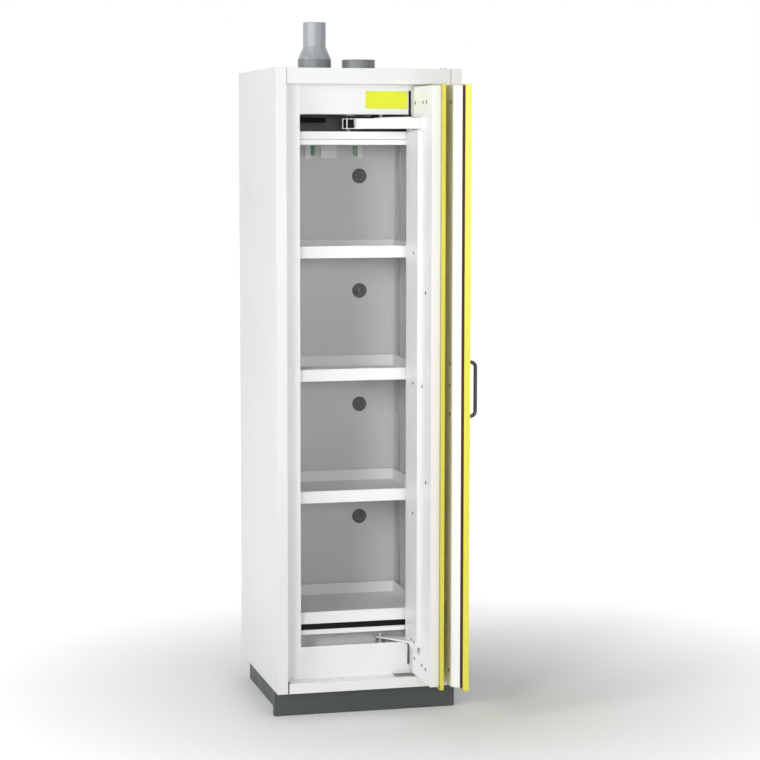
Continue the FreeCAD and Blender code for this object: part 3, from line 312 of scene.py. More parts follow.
def fire_board(name, colour):
    board = Finish(name)
    pores, fibres = board.cells(420), board.noise(1, 5, 0.7, where=board.scaled(90, 90, 600))
    shade = board.blend(board.spread(fibres, 0.3, 0.7, 0, 1), shaded(colour, 0.86), colour)
    board.set("Base Color", board.blend(board.spread(pores, 0.0, 0.28, 1, 0), shade, shaded(colour, 0.7)))
    board.set("Roughness", board.spread(fibres, 0.3, 0.7, 0.8, 0.95))
    board.set("Normal", board.bumps(pores, 0.35, 0.0006))
    return board.material


finishes["liner_board"] = laminate("liner_board", (0.70, 0.70, 0.695))
finishes["mineral_board"] = fire_board("mineral_board", (0.60, 0.585, 0.53))

# %% [markdown]
# Two strips matter here. The swelling strip on the right leaf is dark red-brown graphite foil that
# foams up in a fire, and the strip on the left leaf is a smooth grey seal. Both are matt and a little
# uneven, as glued tape is: fine cross ripples and a dusty bloom.

# %% Swelling strip and sealing strip
def glued_strip(name, colour, bloom):
    strip = Finish(name)
    ripple = strip.noise(1, 3, where=strip.scaled(30, 30, 160))
    dust = strip.noise(34, 6, 0.65)
    strip.set("Base Color", strip.blend(strip.spread(dust, 0.45, 0.75, 0, 0.7), colour, bloom))
    strip.set("Roughness", strip.spread(dust, 0.3, 0.7, 0.62, 0.82))
    strip.set("Normal", strip.bumps(ripple, 0.3, 0.0008, strip.folds(0.0005)[0]))
    return strip.material


finishes["fire_strip"] = glued_strip("fire_strip", (0.060, 0.012, 0.008), (0.11, 0.035, 0.024))
finishes["grey_strip"] = glued_strip("grey_strip", (0.60, 0.60, 0.585), (0.50, 0.50, 0.485))

# %% [markdown]
# The heat links are small glass bulbs filled with a green liquid. Clear glass would need a liquid
# inside it, so the bulb's own transmission carries the tint, and a faint streaked noise keeps the
# drawn glass from looking perfect.

# %% Tinted glass of the heat links
bulb = Finish("green_glass", IOR=1.47)
bulb.shader.inputs["Transmission Weight"].default_value = 0.55
drawn = bulb.noise(1, 2, where=bulb.scaled(300, 300, 30))
tints = (0.22, 0.44, 0.25), (0.34, 0.58, 0.36)
bulb.set("Base Color", bulb.blend(bulb.spread(drawn, 0.3, 0.7, 0, 1), *tints))
bulb.set("Roughness", bulb.spread(drawn, 0.3, 0.7, 0.06, 0.16))
bulb.set("Normal", bulb.bumps(drawn, 0.05, 0.0003))
finishes["green_glass"] = bulb.material
print("finishes:", len(finishes))

# %% [markdown]
# The record names a material for every node, and the finish of that name goes on it. Some nodes get
# another finish, listed one by one: paler or more worn ones, and a lighter copy of the white paint on the
# frame, the sill and the leaf trays, which is painted light.

# %% Give every node of the model its finish
slot_of = {part["node"]: part["material_slot"] for part in frame["record"]["subparts"]}
SPECIAL = {"exhaust_reducer": "pale_plastic", "vent_grilles": "vent_plastic", "label_plate": "label_film",
           "catch_plate": "worn_steel", "left_leaf_tray": "white_paint_painted_light", "right_leaf_tray": "white_paint_painted_light",
           "frame_left": "white_paint_painted_light", "frame_right": "white_paint_painted_light", "frame_bottom": "white_paint_painted_light",
           "sill_rail": "white_paint_painted_light", "damper_brackets": "bracket_paint_screen_shade"}


def dress(thing, finish):
    thing.data.materials.clear()
    thing.data.materials.append(finishes[finish])


for name, thing in nodes.items():
    dress(thing, SPECIAL.get(name, slot_of[name]))
print("dressed nodes:", len(nodes))

# %% [markdown]
# New pieces are made as plain meshes with their place in the mesh and the object at the origin, as
# the nodes are. One helper links such a mesh, gives it a finish and lets it ride on its body.

# %% Helpers for new pieces
FRONT = -0.3075


def at(x, behind, z):
    """A point given in millimetres: X, distance behind the front plane, height."""
    return Vector((x * MM, FRONT + behind * MM, z * MM))


def piece(name, mesh, finish, body):
    """Link a finished mesh as a piece of the object."""
    thing = bpy.data.objects.new(name, mesh)
    bpy.context.scene.collection.objects.link(thing)
    if finish:
        dress(thing, finish)
    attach(thing, body)
    return thing


def mesh_from(build, name):
    """Run a bmesh recipe and return a clean mesh with outward faces."""
    form = bmesh.new()
    build(form)
    bmesh.ops.remove_doubles(form, verts=form.verts, dist=1e-6)
    bmesh.ops.recalc_face_normals(form, faces=form.faces)
    mesh = bpy.data.meshes.new(name)
    form.to_mesh(mesh)
    form.free()
    return mesh


def lathe(profile, segments=24):
    """A closed turned form about Z from (radius, height) pairs in millimetres.
    The first and the last pair lie on the axis."""
    angles = [2 * math.pi * step / segments for step in range(segments)]

    def build(form):
        rings = []
        for radius, height in [(r * MM, h * MM) for r, h in profile]:
            if radius == 0:
                rings.append([form.verts.new((0, 0, height))])
            else:
                rings.append([form.verts.new((radius * math.cos(a), radius * math.sin(a), height))
                              for a in angles])
        for low, high in zip(rings, rings[1:]):
            for step in range(segments):
                after = (step + 1) % segments
                corners = (low[step % len(low)], low[after % len(low)],
                           high[after % len(high)], high[step % len(high)])
                form.faces.new(list(dict.fromkeys(corners)))
    return build


# %% [markdown]
# Screws repeat all over sheet-metal work, which makes them a task for Geometry Nodes. Each screw is a
# point with an arrow that says where its head faces. The tree sets one turned head on every point,
# turns it to its arrow and realizes the copies, so one short list of points gives one plain mesh.

# %% A node tree that sets screw heads on points
def group_tree(name, inputs):
    """A geometry node group with named inputs; returns the tree, its input and output nodes."""
    tree = bpy.data.node_groups.new(name, "GeometryNodeTree")
    tree.interface.new_socket("Geometry", in_out="INPUT", socket_type="NodeSocketGeometry")
    for label, kind, default in inputs:
        socket = tree.interface.new_socket(label, in_out="INPUT", socket_type=kind)
        if default is not None:
            socket.default_value = default
    tree.interface.new_socket("Geometry", in_out="OUTPUT", socket_type="NodeSocketGeometry")
    return tree, tree.nodes.new("NodeGroupInput"), tree.nodes.new("NodeGroupOutput")


def join_up(tree, *wires):
    """Connect nodes; each wire is source node, output, target node, input."""
    for source, output, target, socket in wires:
        tree.links.new(source.outputs[output], target.inputs[socket])


def screw_tree():
    tree, given, result = group_tree("screws_on_points", [
        ("Head", "NodeSocketObject", None), ("Size", "NodeSocketFloat", 1.0),
        ("Finish", "NodeSocketMaterial", None)])
    make = tree.nodes.new
    head = make("GeometryNodeObjectInfo")
    facing = make("GeometryNodeInputNamedAttribute")
    facing.data_type = "FLOAT_VECTOR"
    facing.inputs["Name"].default_value = "facing"
    turn = make("FunctionNodeAlignRotationToVector")
    turn.axis = "Z"
    spin = make("FunctionNodeRandomValue")
    spin.inputs[3].default_value = 2 * math.pi  # the upper end of the random turn
    spin.inputs["Seed"].default_value = 7
    about = make("FunctionNodeRotateRotation")
    about.rotation_space = "LOCAL"
    axis = make("FunctionNodeAxisAngleToRotation")
    axis.inputs["Axis"].default_value = (0, 0, 1)
    copies = make("GeometryNodeInstanceOnPoints")
    real = make("GeometryNodeRealizeInstances")
    paint = make("GeometryNodeSetMaterial")
    join_up(tree,
            (given, "Head", head, "Object"), (given, "Geometry", copies, "Points"),
            (head, "Geometry", copies, "Instance"), (facing, "Attribute", turn, "Vector"),
            (spin, 1, axis, "Angle"), (turn, "Rotation", about, "Rotation"),
            (axis, "Rotation", about, "Rotate By"), (about, "Rotation", copies, "Rotation"),
            (given, "Size", copies, "Scale"),
            (copies, "Instances", real, "Geometry"), (real, "Geometry", paint, "Geometry"),
            (given, "Finish", paint, "Material"), (paint, "Geometry", result, "Geometry"))
    return tree


def bake(source, tree, settings, name):
    """Run a tree on a mesh and keep the result as a plain mesh."""
    carrier = bpy.data.objects.new(name + "_points", source)
    bpy.context.scene.collection.objects.link(carrier)
    modifier = carrier.modifiers.new("recipe", "NODES")
    modifier.node_group = tree
    for socket in tree.interface.items_tree:
        if socket.in_out == "INPUT" and socket.name in settings:
            modifier[socket.identifier] = settings[socket.name]
    seen = carrier.evaluated_get(bpy.context.evaluated_depsgraph_get())
    mesh = bpy.data.meshes.new_from_object(seen)
    mesh.name = name
    carrier.modifiers.remove(modifier)
    bpy.data.objects.remove(carrier)
    print(name, "faces:", len(mesh.polygons))
    return mesh


def points_mesh(points, name):
    """Vertices with a facing arrow each, from (place, arrow) pairs."""
    mesh = bpy.data.meshes.new(name)
    mesh.from_pydata([place for place, arrow in points], [], [])
    arrows = mesh.attributes.new("facing", "FLOAT_VECTOR", "POINT")
    for number, (place, arrow) in enumerate(points):
        arrows.data[number].vector = arrow
    return mesh


SCREWS = screw_tree()
turned_heads = {}
for label, profile in {
    "pan_head": [(0, -0.5), (4.6, -0.5), (4.6, 0.5), (3.9, 1.5), (2.4, 2.1), (1.7, 2.2), (1.5, 0.9),
                 (0, 0.8)],
    "plug_head": [(0, -0.4), (6.2, -0.4), (6.2, 0.35), (5.3, 0.75), (3.6, 0.9), (3.2, 0.25), (0, 0.15)],
    "rivet_head": [(0, -0.3), (2.4, -0.3), (2.4, 0.1), (1.9, 0.55), (1.1, 0.8), (0, 0.85)],
    "sunk_head": [(0, -1.5), (1.8, -1.5), (3.9, -0.25), (3.9, -0.1), (1.5, -0.1), (1.2, -0.8), (0, -0.9)],
}.items():
    solid = mesh_from(lathe(profile, 12), label)
    turned_heads[label] = bpy.data.objects.new(label, solid)
    bpy.context.scene.collection.objects.link(turned_heads[label])


def screws(name, points, head, finish, body, size=1.0):
    settings = {"Head": turned_heads[head], "Size": size, "Finish": finishes[finish]}
    return piece(name, bake(points_mesh(points, name), SCREWS, settings, name), None, body)


# %% [markdown]
# Which screws are where: the inner pans of both leaves are pinned by flat dark plugs, the carrier
# plate is bolted to the left leaf, and the tread behind the sill and the roof have small pan heads.
# All are placed on the face that carries them, so they look right from any side.

# %% Screws and plugs of the leaves, the tread and the roof
LEFT, RIGHT, UP = Vector((-1, 0, 0)), Vector((1, 0, 0)), Vector((0, 0, 1))
TO_FRONT, BACK = Vector((0, -1, 0)), Vector((0, 1, 0))
CARRIER_STANDS_OFF = 12.5

left_pan_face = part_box("left_leaf_tray")[0].x / MM
right_pan_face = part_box("right_leaf_tray")[0].x / MM
carrier_face = left_pan_face - CARRIER_STANDS_OFF
# Each pair is the distance behind the front plane and the height.
pan_plugs = [(5, 1961), (-87, 1961), (-128, 1961), (-124, 1369), (-85, 1071), (-131, 771),
             (-2, 178), (-93, 176), (-135, 172)]
screws("left_leaf_plugs", [(at(left_pan_face, b, z), LEFT) for b, z in pan_plugs],
       "plug_head", "dark_paint", "left_leaf")
screws("right_leaf_plugs", [(at(right_pan_face, -175, z), LEFT) for z in (1961, 1150, 1082, 992, 177)],
       "plug_head", "dark_paint", "right_leaf")
print("pan faces at X", round(left_pan_face, 1), round(right_pan_face, 1))
carrier_bolts = [(-24.5, 1490), (-22.5, 1075), (-24, 658), (-12, 243.5), (-43, 242)]
screws("carrier_bolts", [(at(carrier_face, b, z), LEFT) for b, z in carrier_bolts],
       "pan_head", "worn_steel", "left_leaf")
tread_top, tread_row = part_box("sill_rail")[1].z / MM, 31
screws("sill_screws", [(at(x, tread_row, tread_top), UP) for x in (-180, -149, -122, -78)],
       "pan_head", "bright_steel", "cabinet", 0.55)
ROOF_TOP, ROOF_ROW = 2068, 9
screws("roof_bolts", [(at(x, ROOF_ROW, ROOF_TOP), UP) for x in (236, 249)],
       "pan_head", "dark_paint", "cabinet", 0.9)

# %% [markdown]
# The exhaust air leaves the store through round valve discs in the rear wall. Each is a shallow dish
# with a rolled rim and a ring of six holes. The holes could be cut by hand, but a node tree does it
# for every valve alike: cylinders on a circle, one boolean, then the dish copied to each height.

# %% A node tree for the valve discs
def disc_tree():
    tree, given, result = group_tree("valve_discs", [
        ("Dish", "NodeSocketObject", None), ("Holes", "NodeSocketInt", 6),
        ("Ring Radius", "NodeSocketFloat", 0.0125), ("Hole Radius", "NodeSocketFloat", 0.0026),
        ("Finish", "NodeSocketMaterial", None)])
    make = tree.nodes.new
    dish = make("GeometryNodeObjectInfo")
    ring = make("GeometryNodeMeshCircle")
    drill = make("GeometryNodeMeshCylinder")
    drill.inputs["Vertices"].default_value = 14
    drill.inputs["Depth"].default_value = 0.03
    upright = make("GeometryNodeTransform")
    upright.inputs["Rotation"].default_value = (math.pi / 2, 0, 0)
    flat = make("GeometryNodeTransform")
    flat.inputs["Rotation"].default_value = (math.pi / 2, math.radians(12), 0)
    drills = make("GeometryNodeInstanceOnPoints")
    drills_real = make("GeometryNodeRealizeInstances")
    cut = make("GeometryNodeMeshBoolean")
    cut.operation = "DIFFERENCE"
    cut.solver = "EXACT"
    copies = make("GeometryNodeInstanceOnPoints")
    real = make("GeometryNodeRealizeInstances")
    paint = make("GeometryNodeSetMaterial")
    join_up(tree,
            (given, "Dish", dish, "Object"), (given, "Holes", ring, "Vertices"),
            (given, "Ring Radius", ring, "Radius"), (given, "Hole Radius", drill, "Radius"),
            (ring, "Mesh", flat, "Geometry"), (drill, "Mesh", upright, "Geometry"),
            (flat, "Geometry", drills, "Points"), (upright, "Geometry", drills, "Instance"),
            (drills, "Instances", drills_real, "Geometry"), (dish, "Geometry", cut, "Mesh 1"),
            (drills_real, "Geometry", cut, "Mesh 2"), (given, "Geometry", copies, "Points"),
            (cut, "Mesh", copies, "Instance"), (copies, "Instances", real, "Geometry"),
            (real, "Geometry", paint, "Geometry"), (given, "Finish", paint, "Material"),
            (paint, "Geometry", result, "Geometry"))
    return tree


vent_low, vent_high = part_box("vent_grilles")
vent_radius = (vent_high.x - vent_low.x) / 2 / MM
vent_middle = (vent_low.x + vent_high.x) / 2
rear_face_of_liner = vent_high.y
DRAWN_RADIUS = 25
VENT_COUNT = 4
dish_profile = [(0, 0), (25, 0), (25, 2.2), (24.2, 3.4), (22.8, 4.0), (21.2, 3.8), (20, 3.0), (18.6, 2.1),
                (8, 1.7), (6.6, 2.4), (5, 2.8), (0, 2.9)]
dish_profile = [(r * vent_radius / DRAWN_RADIUS, h) for r, h in dish_profile]
dish_mesh = mesh_from(lathe(dish_profile, 40), "valve_dish")
dish_mesh.transform(Matrix.Rotation(math.pi / 2, 4, "X"))
dish = bpy.data.objects.new("valve_dish", dish_mesh)
bpy.context.scene.collection.objects.link(dish)
vent_step = (vent_high.z - vent_low.z - 2 * vent_radius * MM) / (VENT_COUNT - 1)
vent_points = bpy.data.meshes.new("valve_points")
vent_points.from_pydata([(vent_middle, rear_face_of_liner, vent_low.z + vent_radius * MM + step * vent_step)
                         for step in range(VENT_COUNT)], [], [])
disc_mesh = bake(vent_points, disc_tree(), {"Dish": dish, "Finish": finishes["vent_plastic"]}, "valve_discs")
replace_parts(piece("valve_discs", disc_mesh, None, "cabinet"), "vent_grilles")
print("valve pitch in mm:", round(vent_step / MM, 1), "radius:", round(vent_radius, 1))

# %% [markdown]
# Rolled rims and beads follow a path. A Curve to Mesh node sweeps a small round section along any
# curve, so one tree makes the rims of the roof collars, the step of the reducer, the hems of the trays
# and the dark cords that paint shade in the seams. Only the path and the section's radius change.

# %% A node tree that sweeps a bead along a path
def bead_tree():
    tree, given, result = group_tree("bead_on_path", [
        ("Radius", "NodeSocketFloat", 0.001), ("Sides", "NodeSocketInt", 8),
        ("Finish", "NodeSocketMaterial", None)])
    make = tree.nodes.new
    path = make("GeometryNodeMeshToCurve")
    section = make("GeometryNodeCurvePrimitiveCircle")
    sweep = make("GeometryNodeCurveToMesh")
    sweep.inputs["Fill Caps"].default_value = True
    real = make("GeometryNodeRealizeInstances")
    paint = make("GeometryNodeSetMaterial")
    join_up(tree,
            (given, "Geometry", path, "Mesh"), (path, "Curve", sweep, "Curve"),
            (given, "Radius", section, "Radius"), (given, "Sides", section, "Resolution"),
            (section, "Curve", sweep, "Profile Curve"),
            (sweep, "Mesh", real, "Geometry"), (real, "Geometry", paint, "Geometry"),
            (given, "Finish", paint, "Material"), (paint, "Geometry", result, "Geometry"))
    return tree


BEADS = bead_tree()


def loops_mesh(loops, name, closed=True):
    """Edges through each list of points."""
    places, edges = [], []
    for loop in loops:
        first = len(places)
        places += loop
        edges += [(first + n, first + n + 1) for n in range(len(loop) - 1)]
        edges += [(first + len(loop) - 1, first)] if closed else []
    mesh = bpy.data.meshes.new(name)
    mesh.from_pydata(places, edges, [])
    return mesh


def ring_about(x, z, radius, steps=64, start=0):
    """A circle of points round one of the two ducts, from a start angle in degrees."""
    angles = [math.radians(start + 360 * step / steps) for step in range(steps)]
    return [at(x + radius * math.cos(a), DUCT_BEHIND + radius * math.sin(a), z) for a in angles]


def beads(name, loops, radius, finish, body, closed=True):
    settings = {"Radius": radius * MM, "Finish": finishes[finish]}
    return piece(name, bake(loops_mesh(loops, name, closed), BEADS, settings, name), None, body)


DUCT_X, DUCT_BEHIND = 75, 455
FLANGE_TOP = 2071
TUBE_LENGTH = 80
collar_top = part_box("roof_spigots")[1].z / MM
beads("collar_rims", [ring_about(DUCT_X, collar_top - 1.2, 54.6), ring_about(DUCT_X, FLANGE_TOP, 56.2)],
      1.1, "grey_plastic", "cabinet")
reducer_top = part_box("exhaust_reducer")[1].z / MM
beads("reducer_rims", [ring_about(-DUCT_X, reducer_top - 1.1, 36.9),
                       ring_about(-DUCT_X, reducer_top - TUBE_LENGTH, 37.2),
                       ring_about(-DUCT_X, collar_top + 1.2, 54.4)],
      1.0, "pale_plastic", "cabinet")

# %% [markdown]
# The bow handle of a real leaf does not grow out of the sheet: each leg stands on a turned collar.
# Both collars are one turned form, laid on the leaf's outer face. They could be instanced, but two
# copies in one mesh are simpler to read.

# %% Collars under the handle's legs
def turned_to(arrow, place, profile, segments=24):
    """A bmesh recipe: a turned form laid along an arrow at a place."""
    turn = Matrix.Translation(place) @ arrow.to_track_quat("Z", "Y").to_matrix().to_4x4()

    def build(form):
        before = set(form.verts)
        lathe(profile, segments)(form)
        bmesh.ops.transform(form, matrix=turn, verts=[v for v in form.verts if v not in before])
    return build


def all_of(*recipes):
    def build(form):
        for recipe in recipes:
            recipe(form)
    return build


outer_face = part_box("right_leaf_skin")[1].x / MM
collar = [(0, -0.4), (10.5, -0.4), (10.5, 1.2), (9.6, 2.2), (8.2, 2.6), (7.2, 4.4), (6.2, 5.2), (0, 5.2)]
GRIP_RADIUS = 0.006
handle_low, handle_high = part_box("bow_handle")
legs = [Vector((outer_face * MM, (handle_low.y + handle_high.y) / 2, z))
        for z in (handle_low.z + GRIP_RADIUS, handle_high.z - GRIP_RADIUS)]
piece("handle_collars", mesh_from(all_of(*[turned_to(RIGHT, leg, collar) for leg in legs]), "handle_collars"),
      "dark_paint", "right_leaf")
print("handle legs at X", round(outer_face, 1))

# %% [markdown]
# The label plate stays bare and is held by four small rivets. Rivets are screws without a recess, so
# the screw tree sets them too. Four small screws hold the catch plate to the tread.

# %% Rivets of the label plate and screws of the catch plate
RIVET_INSET = 0.006
label_low, label_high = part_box("label_plate")
label_corners = [Vector((x, label_low.y, z)) for x in (label_low.x + RIVET_INSET, label_high.x - RIVET_INSET)
                 for z in (label_low.z + RIVET_INSET, label_high.z - RIVET_INSET)]
screws("label_rivets", [(corner, TO_FRONT) for corner in label_corners],
       "rivet_head", "bright_steel", "cabinet", 0.8)
catch_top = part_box("catch_plate")[1].z / MM
screws("catch_screws", [(at(x, b, catch_top), UP) for b in (24, 48) for x in (98, 149)],
       "pan_head", "bright_steel", "cabinet", 0.6)

# %% [markdown]
# The shelves hang on four slotted rails. A rail is the same short link repeated: a strip of zinc-coated
# steel with one upright slot. Cutting sixty slots with booleans would be slow, so one link is drawn
# with its slot and a tree stacks it, then copies the stack to the foot of each rail.

# %% A node tree that stacks slotted links into rails
def slotted_link(wide, tall, thick, slot_wide, slot_tall):
    """A closed plate in the XY plane of the rail: thick along X, wide along Y, tall along Z."""
    outline = [(-1, -1), (0, -1), (1, -1), (1, 0), (1, 1), (0, 1), (-1, 1), (-1, 0)]
    hole = [(-0.7, -0.8), (0, -1), (0.7, -0.8), (1, 0), (0.7, 0.8), (0, 1), (-0.7, 0.8), (-1, 0)]

    def build(form):
        def ring(shape, half_y, half_z, x):
            return [form.verts.new((x, y * half_y, z * half_z)) for y, z in shape]
        sides = [(ring(outline, wide / 2, tall / 2, x), ring(hole, slot_wide / 2, slot_tall / 2, x))
                 for x in (0, thick)]
        for n in range(len(outline)):
            m = (n + 1) % len(outline)
            for outer, inner in sides:
                form.faces.new((outer[n], outer[m], inner[m], inner[n]))
            for low, high in zip(sides[0], sides[1]):
                form.faces.new((low[n], low[m], high[m], high[n]))
    return build


def rail_tree():
    tree, given, result = group_tree("slotted_rails", [
        ("Link", "NodeSocketObject", None), ("Count", "NodeSocketInt", 10),
        ("Pitch", "NodeSocketVector", None), ("Finish", "NodeSocketMaterial", None)])
    make = tree.nodes.new
    link, line = make("GeometryNodeObjectInfo"), make("GeometryNodeMeshLine")
    stack, rails = make("GeometryNodeInstanceOnPoints"), make("GeometryNodeInstanceOnPoints")
    real, paint = make("GeometryNodeRealizeInstances"), make("GeometryNodeSetMaterial")
    join_up(tree,
            (given, "Link", link, "Object"), (given, "Count", line, "Count"),
            (given, "Pitch", line, "Offset"), (line, "Mesh", stack, "Points"),
            (link, "Geometry", stack, "Instance"),
            (given, "Geometry", rails, "Points"), (stack, "Instances", rails, "Instance"),
            (rails, "Instances", real, "Geometry"), (real, "Geometry", paint, "Geometry"),
            (given, "Finish", paint, "Material"), (paint, "Geometry", result, "Geometry"))
    return tree


rail_low, rail_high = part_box("shelf_rails")
RAIL_LINKS = 62
RAIL_WIDE, RAIL_THICK = 0.020, 0.003
link_tall = (rail_high.z - rail_low.z) / RAIL_LINKS
link_shape = bpy.data.objects.new("slotted_link", mesh_from(
    slotted_link(RAIL_WIDE, link_tall, RAIL_THICK, slot_wide=0.006, slot_tall=0.014), "slotted_link"))
bpy.context.scene.collection.objects.link(link_shape)
rail_feet = bpy.data.meshes.new("rail_feet")
rail_feet.from_pydata([(x, y, rail_low.z + link_tall / 2) for x in (rail_low.x, rail_high.x - RAIL_THICK)
                       for y in (rail_low.y + RAIL_WIDE / 2, rail_high.y - RAIL_WIDE / 2)], [], [])
rail_mesh = bake(rail_feet, rail_tree(), {
    "Link": link_shape, "Count": RAIL_LINKS, "Pitch": (0, 0, link_tall),
    "Finish": finishes["galvanised_steel"]}, "slotted_rails")
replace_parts(piece("slotted_rails", rail_mesh, None, "cabinet"), "shelf_rails")
print("slot pitch in mm:", round(link_tall / MM, 2))

# %% [markdown]
# The lips of the trays end in a hem, the sheet folded back on itself, which gives each shelf its
# bright round top edge. The bead tree sweeps a small round section once round every lip.

# %% Hems on the tray lips
LIP_INSET, LIP_SINK = 0.75, 0.6
TRAYS = ("sump_tray", "lower_shelf", "middle_shelf", "upper_shelf")


def lip_loop(name):
    low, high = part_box(name)
    left, right = low.x / MM + LIP_INSET, high.x / MM - LIP_INSET
    near, far = (low.y - FRONT) / MM + LIP_INSET, (high.y - FRONT) / MM - LIP_INSET
    z = high.z / MM - LIP_SINK
    return [at(left, near, z), at(right, near, z), at(right, far, z), at(left, far, z)]


beads("tray_hems", [lip_loop(name) for name in TRAYS], 1.25, "shelf_paint", "cabinet")

# %% [markdown]
# Thin dark cords sit in the joints as painted shade, so that the gaps don't show as bright cracks:
# beside the fascia, in the end gaps of the sill, and where the air box sits on the ceiling pan.

# %% Dark cords that paint shade in the seams
FASCIA_SEAM, SILL_GAP = 265.3, 264
BOX_FRONT, BOX_HALF, BOX_SEAM = 80.3, 222, 24
fascia_low, fascia_high = (corner.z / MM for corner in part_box("top_fascia"))
sill_low, sill_high = (corner.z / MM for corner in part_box("sill_rail"))
pan_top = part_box("ceiling_pan")[1].z / MM
beads("fascia_cords", [[at(side * FASCIA_SEAM, 1.0, z) for z in (fascia_low + 0.5, fascia_high - 1)]
                       for side in (-1, 1)],
      0.65, "black_plastic", "cabinet", closed=False)
beads("sill_cords", [[at(side * SILL_GAP, 2.4, sill_low + 1), at(side * SILL_GAP, 2.4, sill_high - 2),
                      at(side * (SILL_GAP - 1), 42, sill_high - 3)] for side in (-1, 1)],
      1.7, "black_plastic", "cabinet", closed=False)
beads("box_seal", [[at(-BOX_HALF, BOX_FRONT, pan_top + BOX_SEAM), at(-BOX_HALF, BOX_FRONT, pan_top + 0.5),
                    at(BOX_HALF, BOX_FRONT, pan_top + 0.5)]],
      0.9, "vent_plastic", "cabinet", closed=False)

# %% [markdown]
# The rear sheet is held by sunk screws, each in a pressed dimple, so nothing stands proud of the back
# and the cabinet can be pushed flat to a wall. A boolean in a node tree presses all dimples at once,
# and the screw tree then fills them.

# %% A node tree that presses dimples in a sheet
def dimple_tree():
    tree, given, result = group_tree("dimpled_sheet", [
        ("Sheet", "NodeSocketObject", None), ("Top Radius", "NodeSocketFloat", 0.0044),
        ("Depth", "NodeSocketFloat", 0.0016), ("Finish", "NodeSocketMaterial", None)])
    make = tree.nodes.new
    sheet, punch = make("GeometryNodeObjectInfo"), make("GeometryNodeMeshCone")
    punch.inputs["Vertices"].default_value = 16
    punch.inputs["Radius Top"].default_value = 0.0016
    lay = make("GeometryNodeTransform")
    lay.inputs["Rotation"].default_value = (math.pi / 2, 0, 0)
    punches, punches_real = make("GeometryNodeInstanceOnPoints"), make("GeometryNodeRealizeInstances")
    press = make("GeometryNodeMeshBoolean")
    press.operation, press.solver = "DIFFERENCE", "EXACT"
    real, paint = make("GeometryNodeRealizeInstances"), make("GeometryNodeSetMaterial")
    join_up(tree,
            (given, "Sheet", sheet, "Object"), (given, "Top Radius", punch, "Radius Bottom"),
            (given, "Depth", punch, "Depth"), (punch, "Mesh", lay, "Geometry"),
            (given, "Geometry", punches, "Points"), (lay, "Geometry", punches, "Instance"),
            (punches, "Instances", punches_real, "Geometry"),
            (sheet, "Geometry", press, "Mesh 1"), (punches_real, "Geometry", press, "Mesh 2"),
            (press, "Mesh", real, "Geometry"), (real, "Geometry", paint, "Geometry"),
            (given, "Finish", paint, "Material"), (paint, "Geometry", result, "Geometry"))
    return tree


REAR_ROWS, SIDE_INSET, END_INSET = 9, 0.016, 0.03
rear_low, rear_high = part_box("rear_panel")
columns = (rear_low.x + SIDE_INSET, rear_high.x - SIDE_INSET)
rear_span = rear_high.z - rear_low.z - 2 * END_INSET
rows = [rear_low.z + END_INSET + n * rear_span / (REAR_ROWS - 1) for n in range(REAR_ROWS)]
sunk = [Vector((x, rear_high.y, z)) for x in columns for z in rows]
sunk += [Vector((0, rear_high.y, z)) for z in (rows[0], rows[-1])]


def plain_sheet(form):
    bmesh.ops.create_cube(form, size=1, matrix=Matrix.Translation((rear_low + rear_high) / 2)
                          @ Matrix.Diagonal((*(rear_high - rear_low), 1)))


sheet_blank = bpy.data.objects.new("sheet_blank", mesh_from(plain_sheet, "sheet_blank"))
bpy.context.scene.collection.objects.link(sheet_blank)
punch_points = bpy.data.meshes.new("punch_points")
clear_of_face = 0.0001
punch_points.from_pydata([place + BACK * clear_of_face for place in sunk], [], [])
rear_mesh = bake(punch_points, dimple_tree(), {
    "Sheet": sheet_blank, "Finish": finishes["white_paint"]}, "dimpled_rear_sheet")
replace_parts(piece("dimpled_rear_sheet", rear_mesh, None, "cabinet"), "rear_panel")
screws("rear_screws", [(place, BACK) for place in sunk],
       "sunk_head", "bright_steel", "cabinet")

# %% [markdown]
# The roof sheet is screwed down along both sides, and the flange of each collar has four screws on a
# circle round the duct.

# %% Screws on the roof and on the collars' flanges
FLANGE_CIRCLE = 61.7
roof_screws = [(at(x, b, ROOF_TOP), UP) for x in (-278, 278) for b in (90, 260, 430, 590)]
flange_screws = [(place, UP) for x in (-DUCT_X, DUCT_X)
                 for place in ring_about(x, FLANGE_TOP, FLANGE_CIRCLE, 4, start=45)]
screws("roof_screws", roof_screws + flange_screws,
       "pan_head", "bright_steel", "cabinet", 0.75)

# %% [markdown]
# The arm and the slider carry the leaf's swing. A hexagon head under the arm holds the slider's pin,
# one of the brightest spots in the dark upper compartment.

# %% Head of the arm's pin
SLIDER_X, SLIDER_BEHIND = -44, 100
arm_low, arm_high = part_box("box_arm")
hexagon = [(0, 0), (6.0, 0), (6.0, 3.2), (5.2, 3.9), (0, 3.9)]
under_arm = at(SLIDER_X, SLIDER_BEHIND, arm_low.z / MM)
piece("arm_pin_head", mesh_from(turned_to(-UP, under_arm, hexagon, 6), "arm_pin_head"),
      "bright_steel", "left_leaf")

# %% [markdown]
# The black slider block runs in the arm's open fork. On its front a bright pin stands upright in a
# groove, a turned form with a collar at each end.

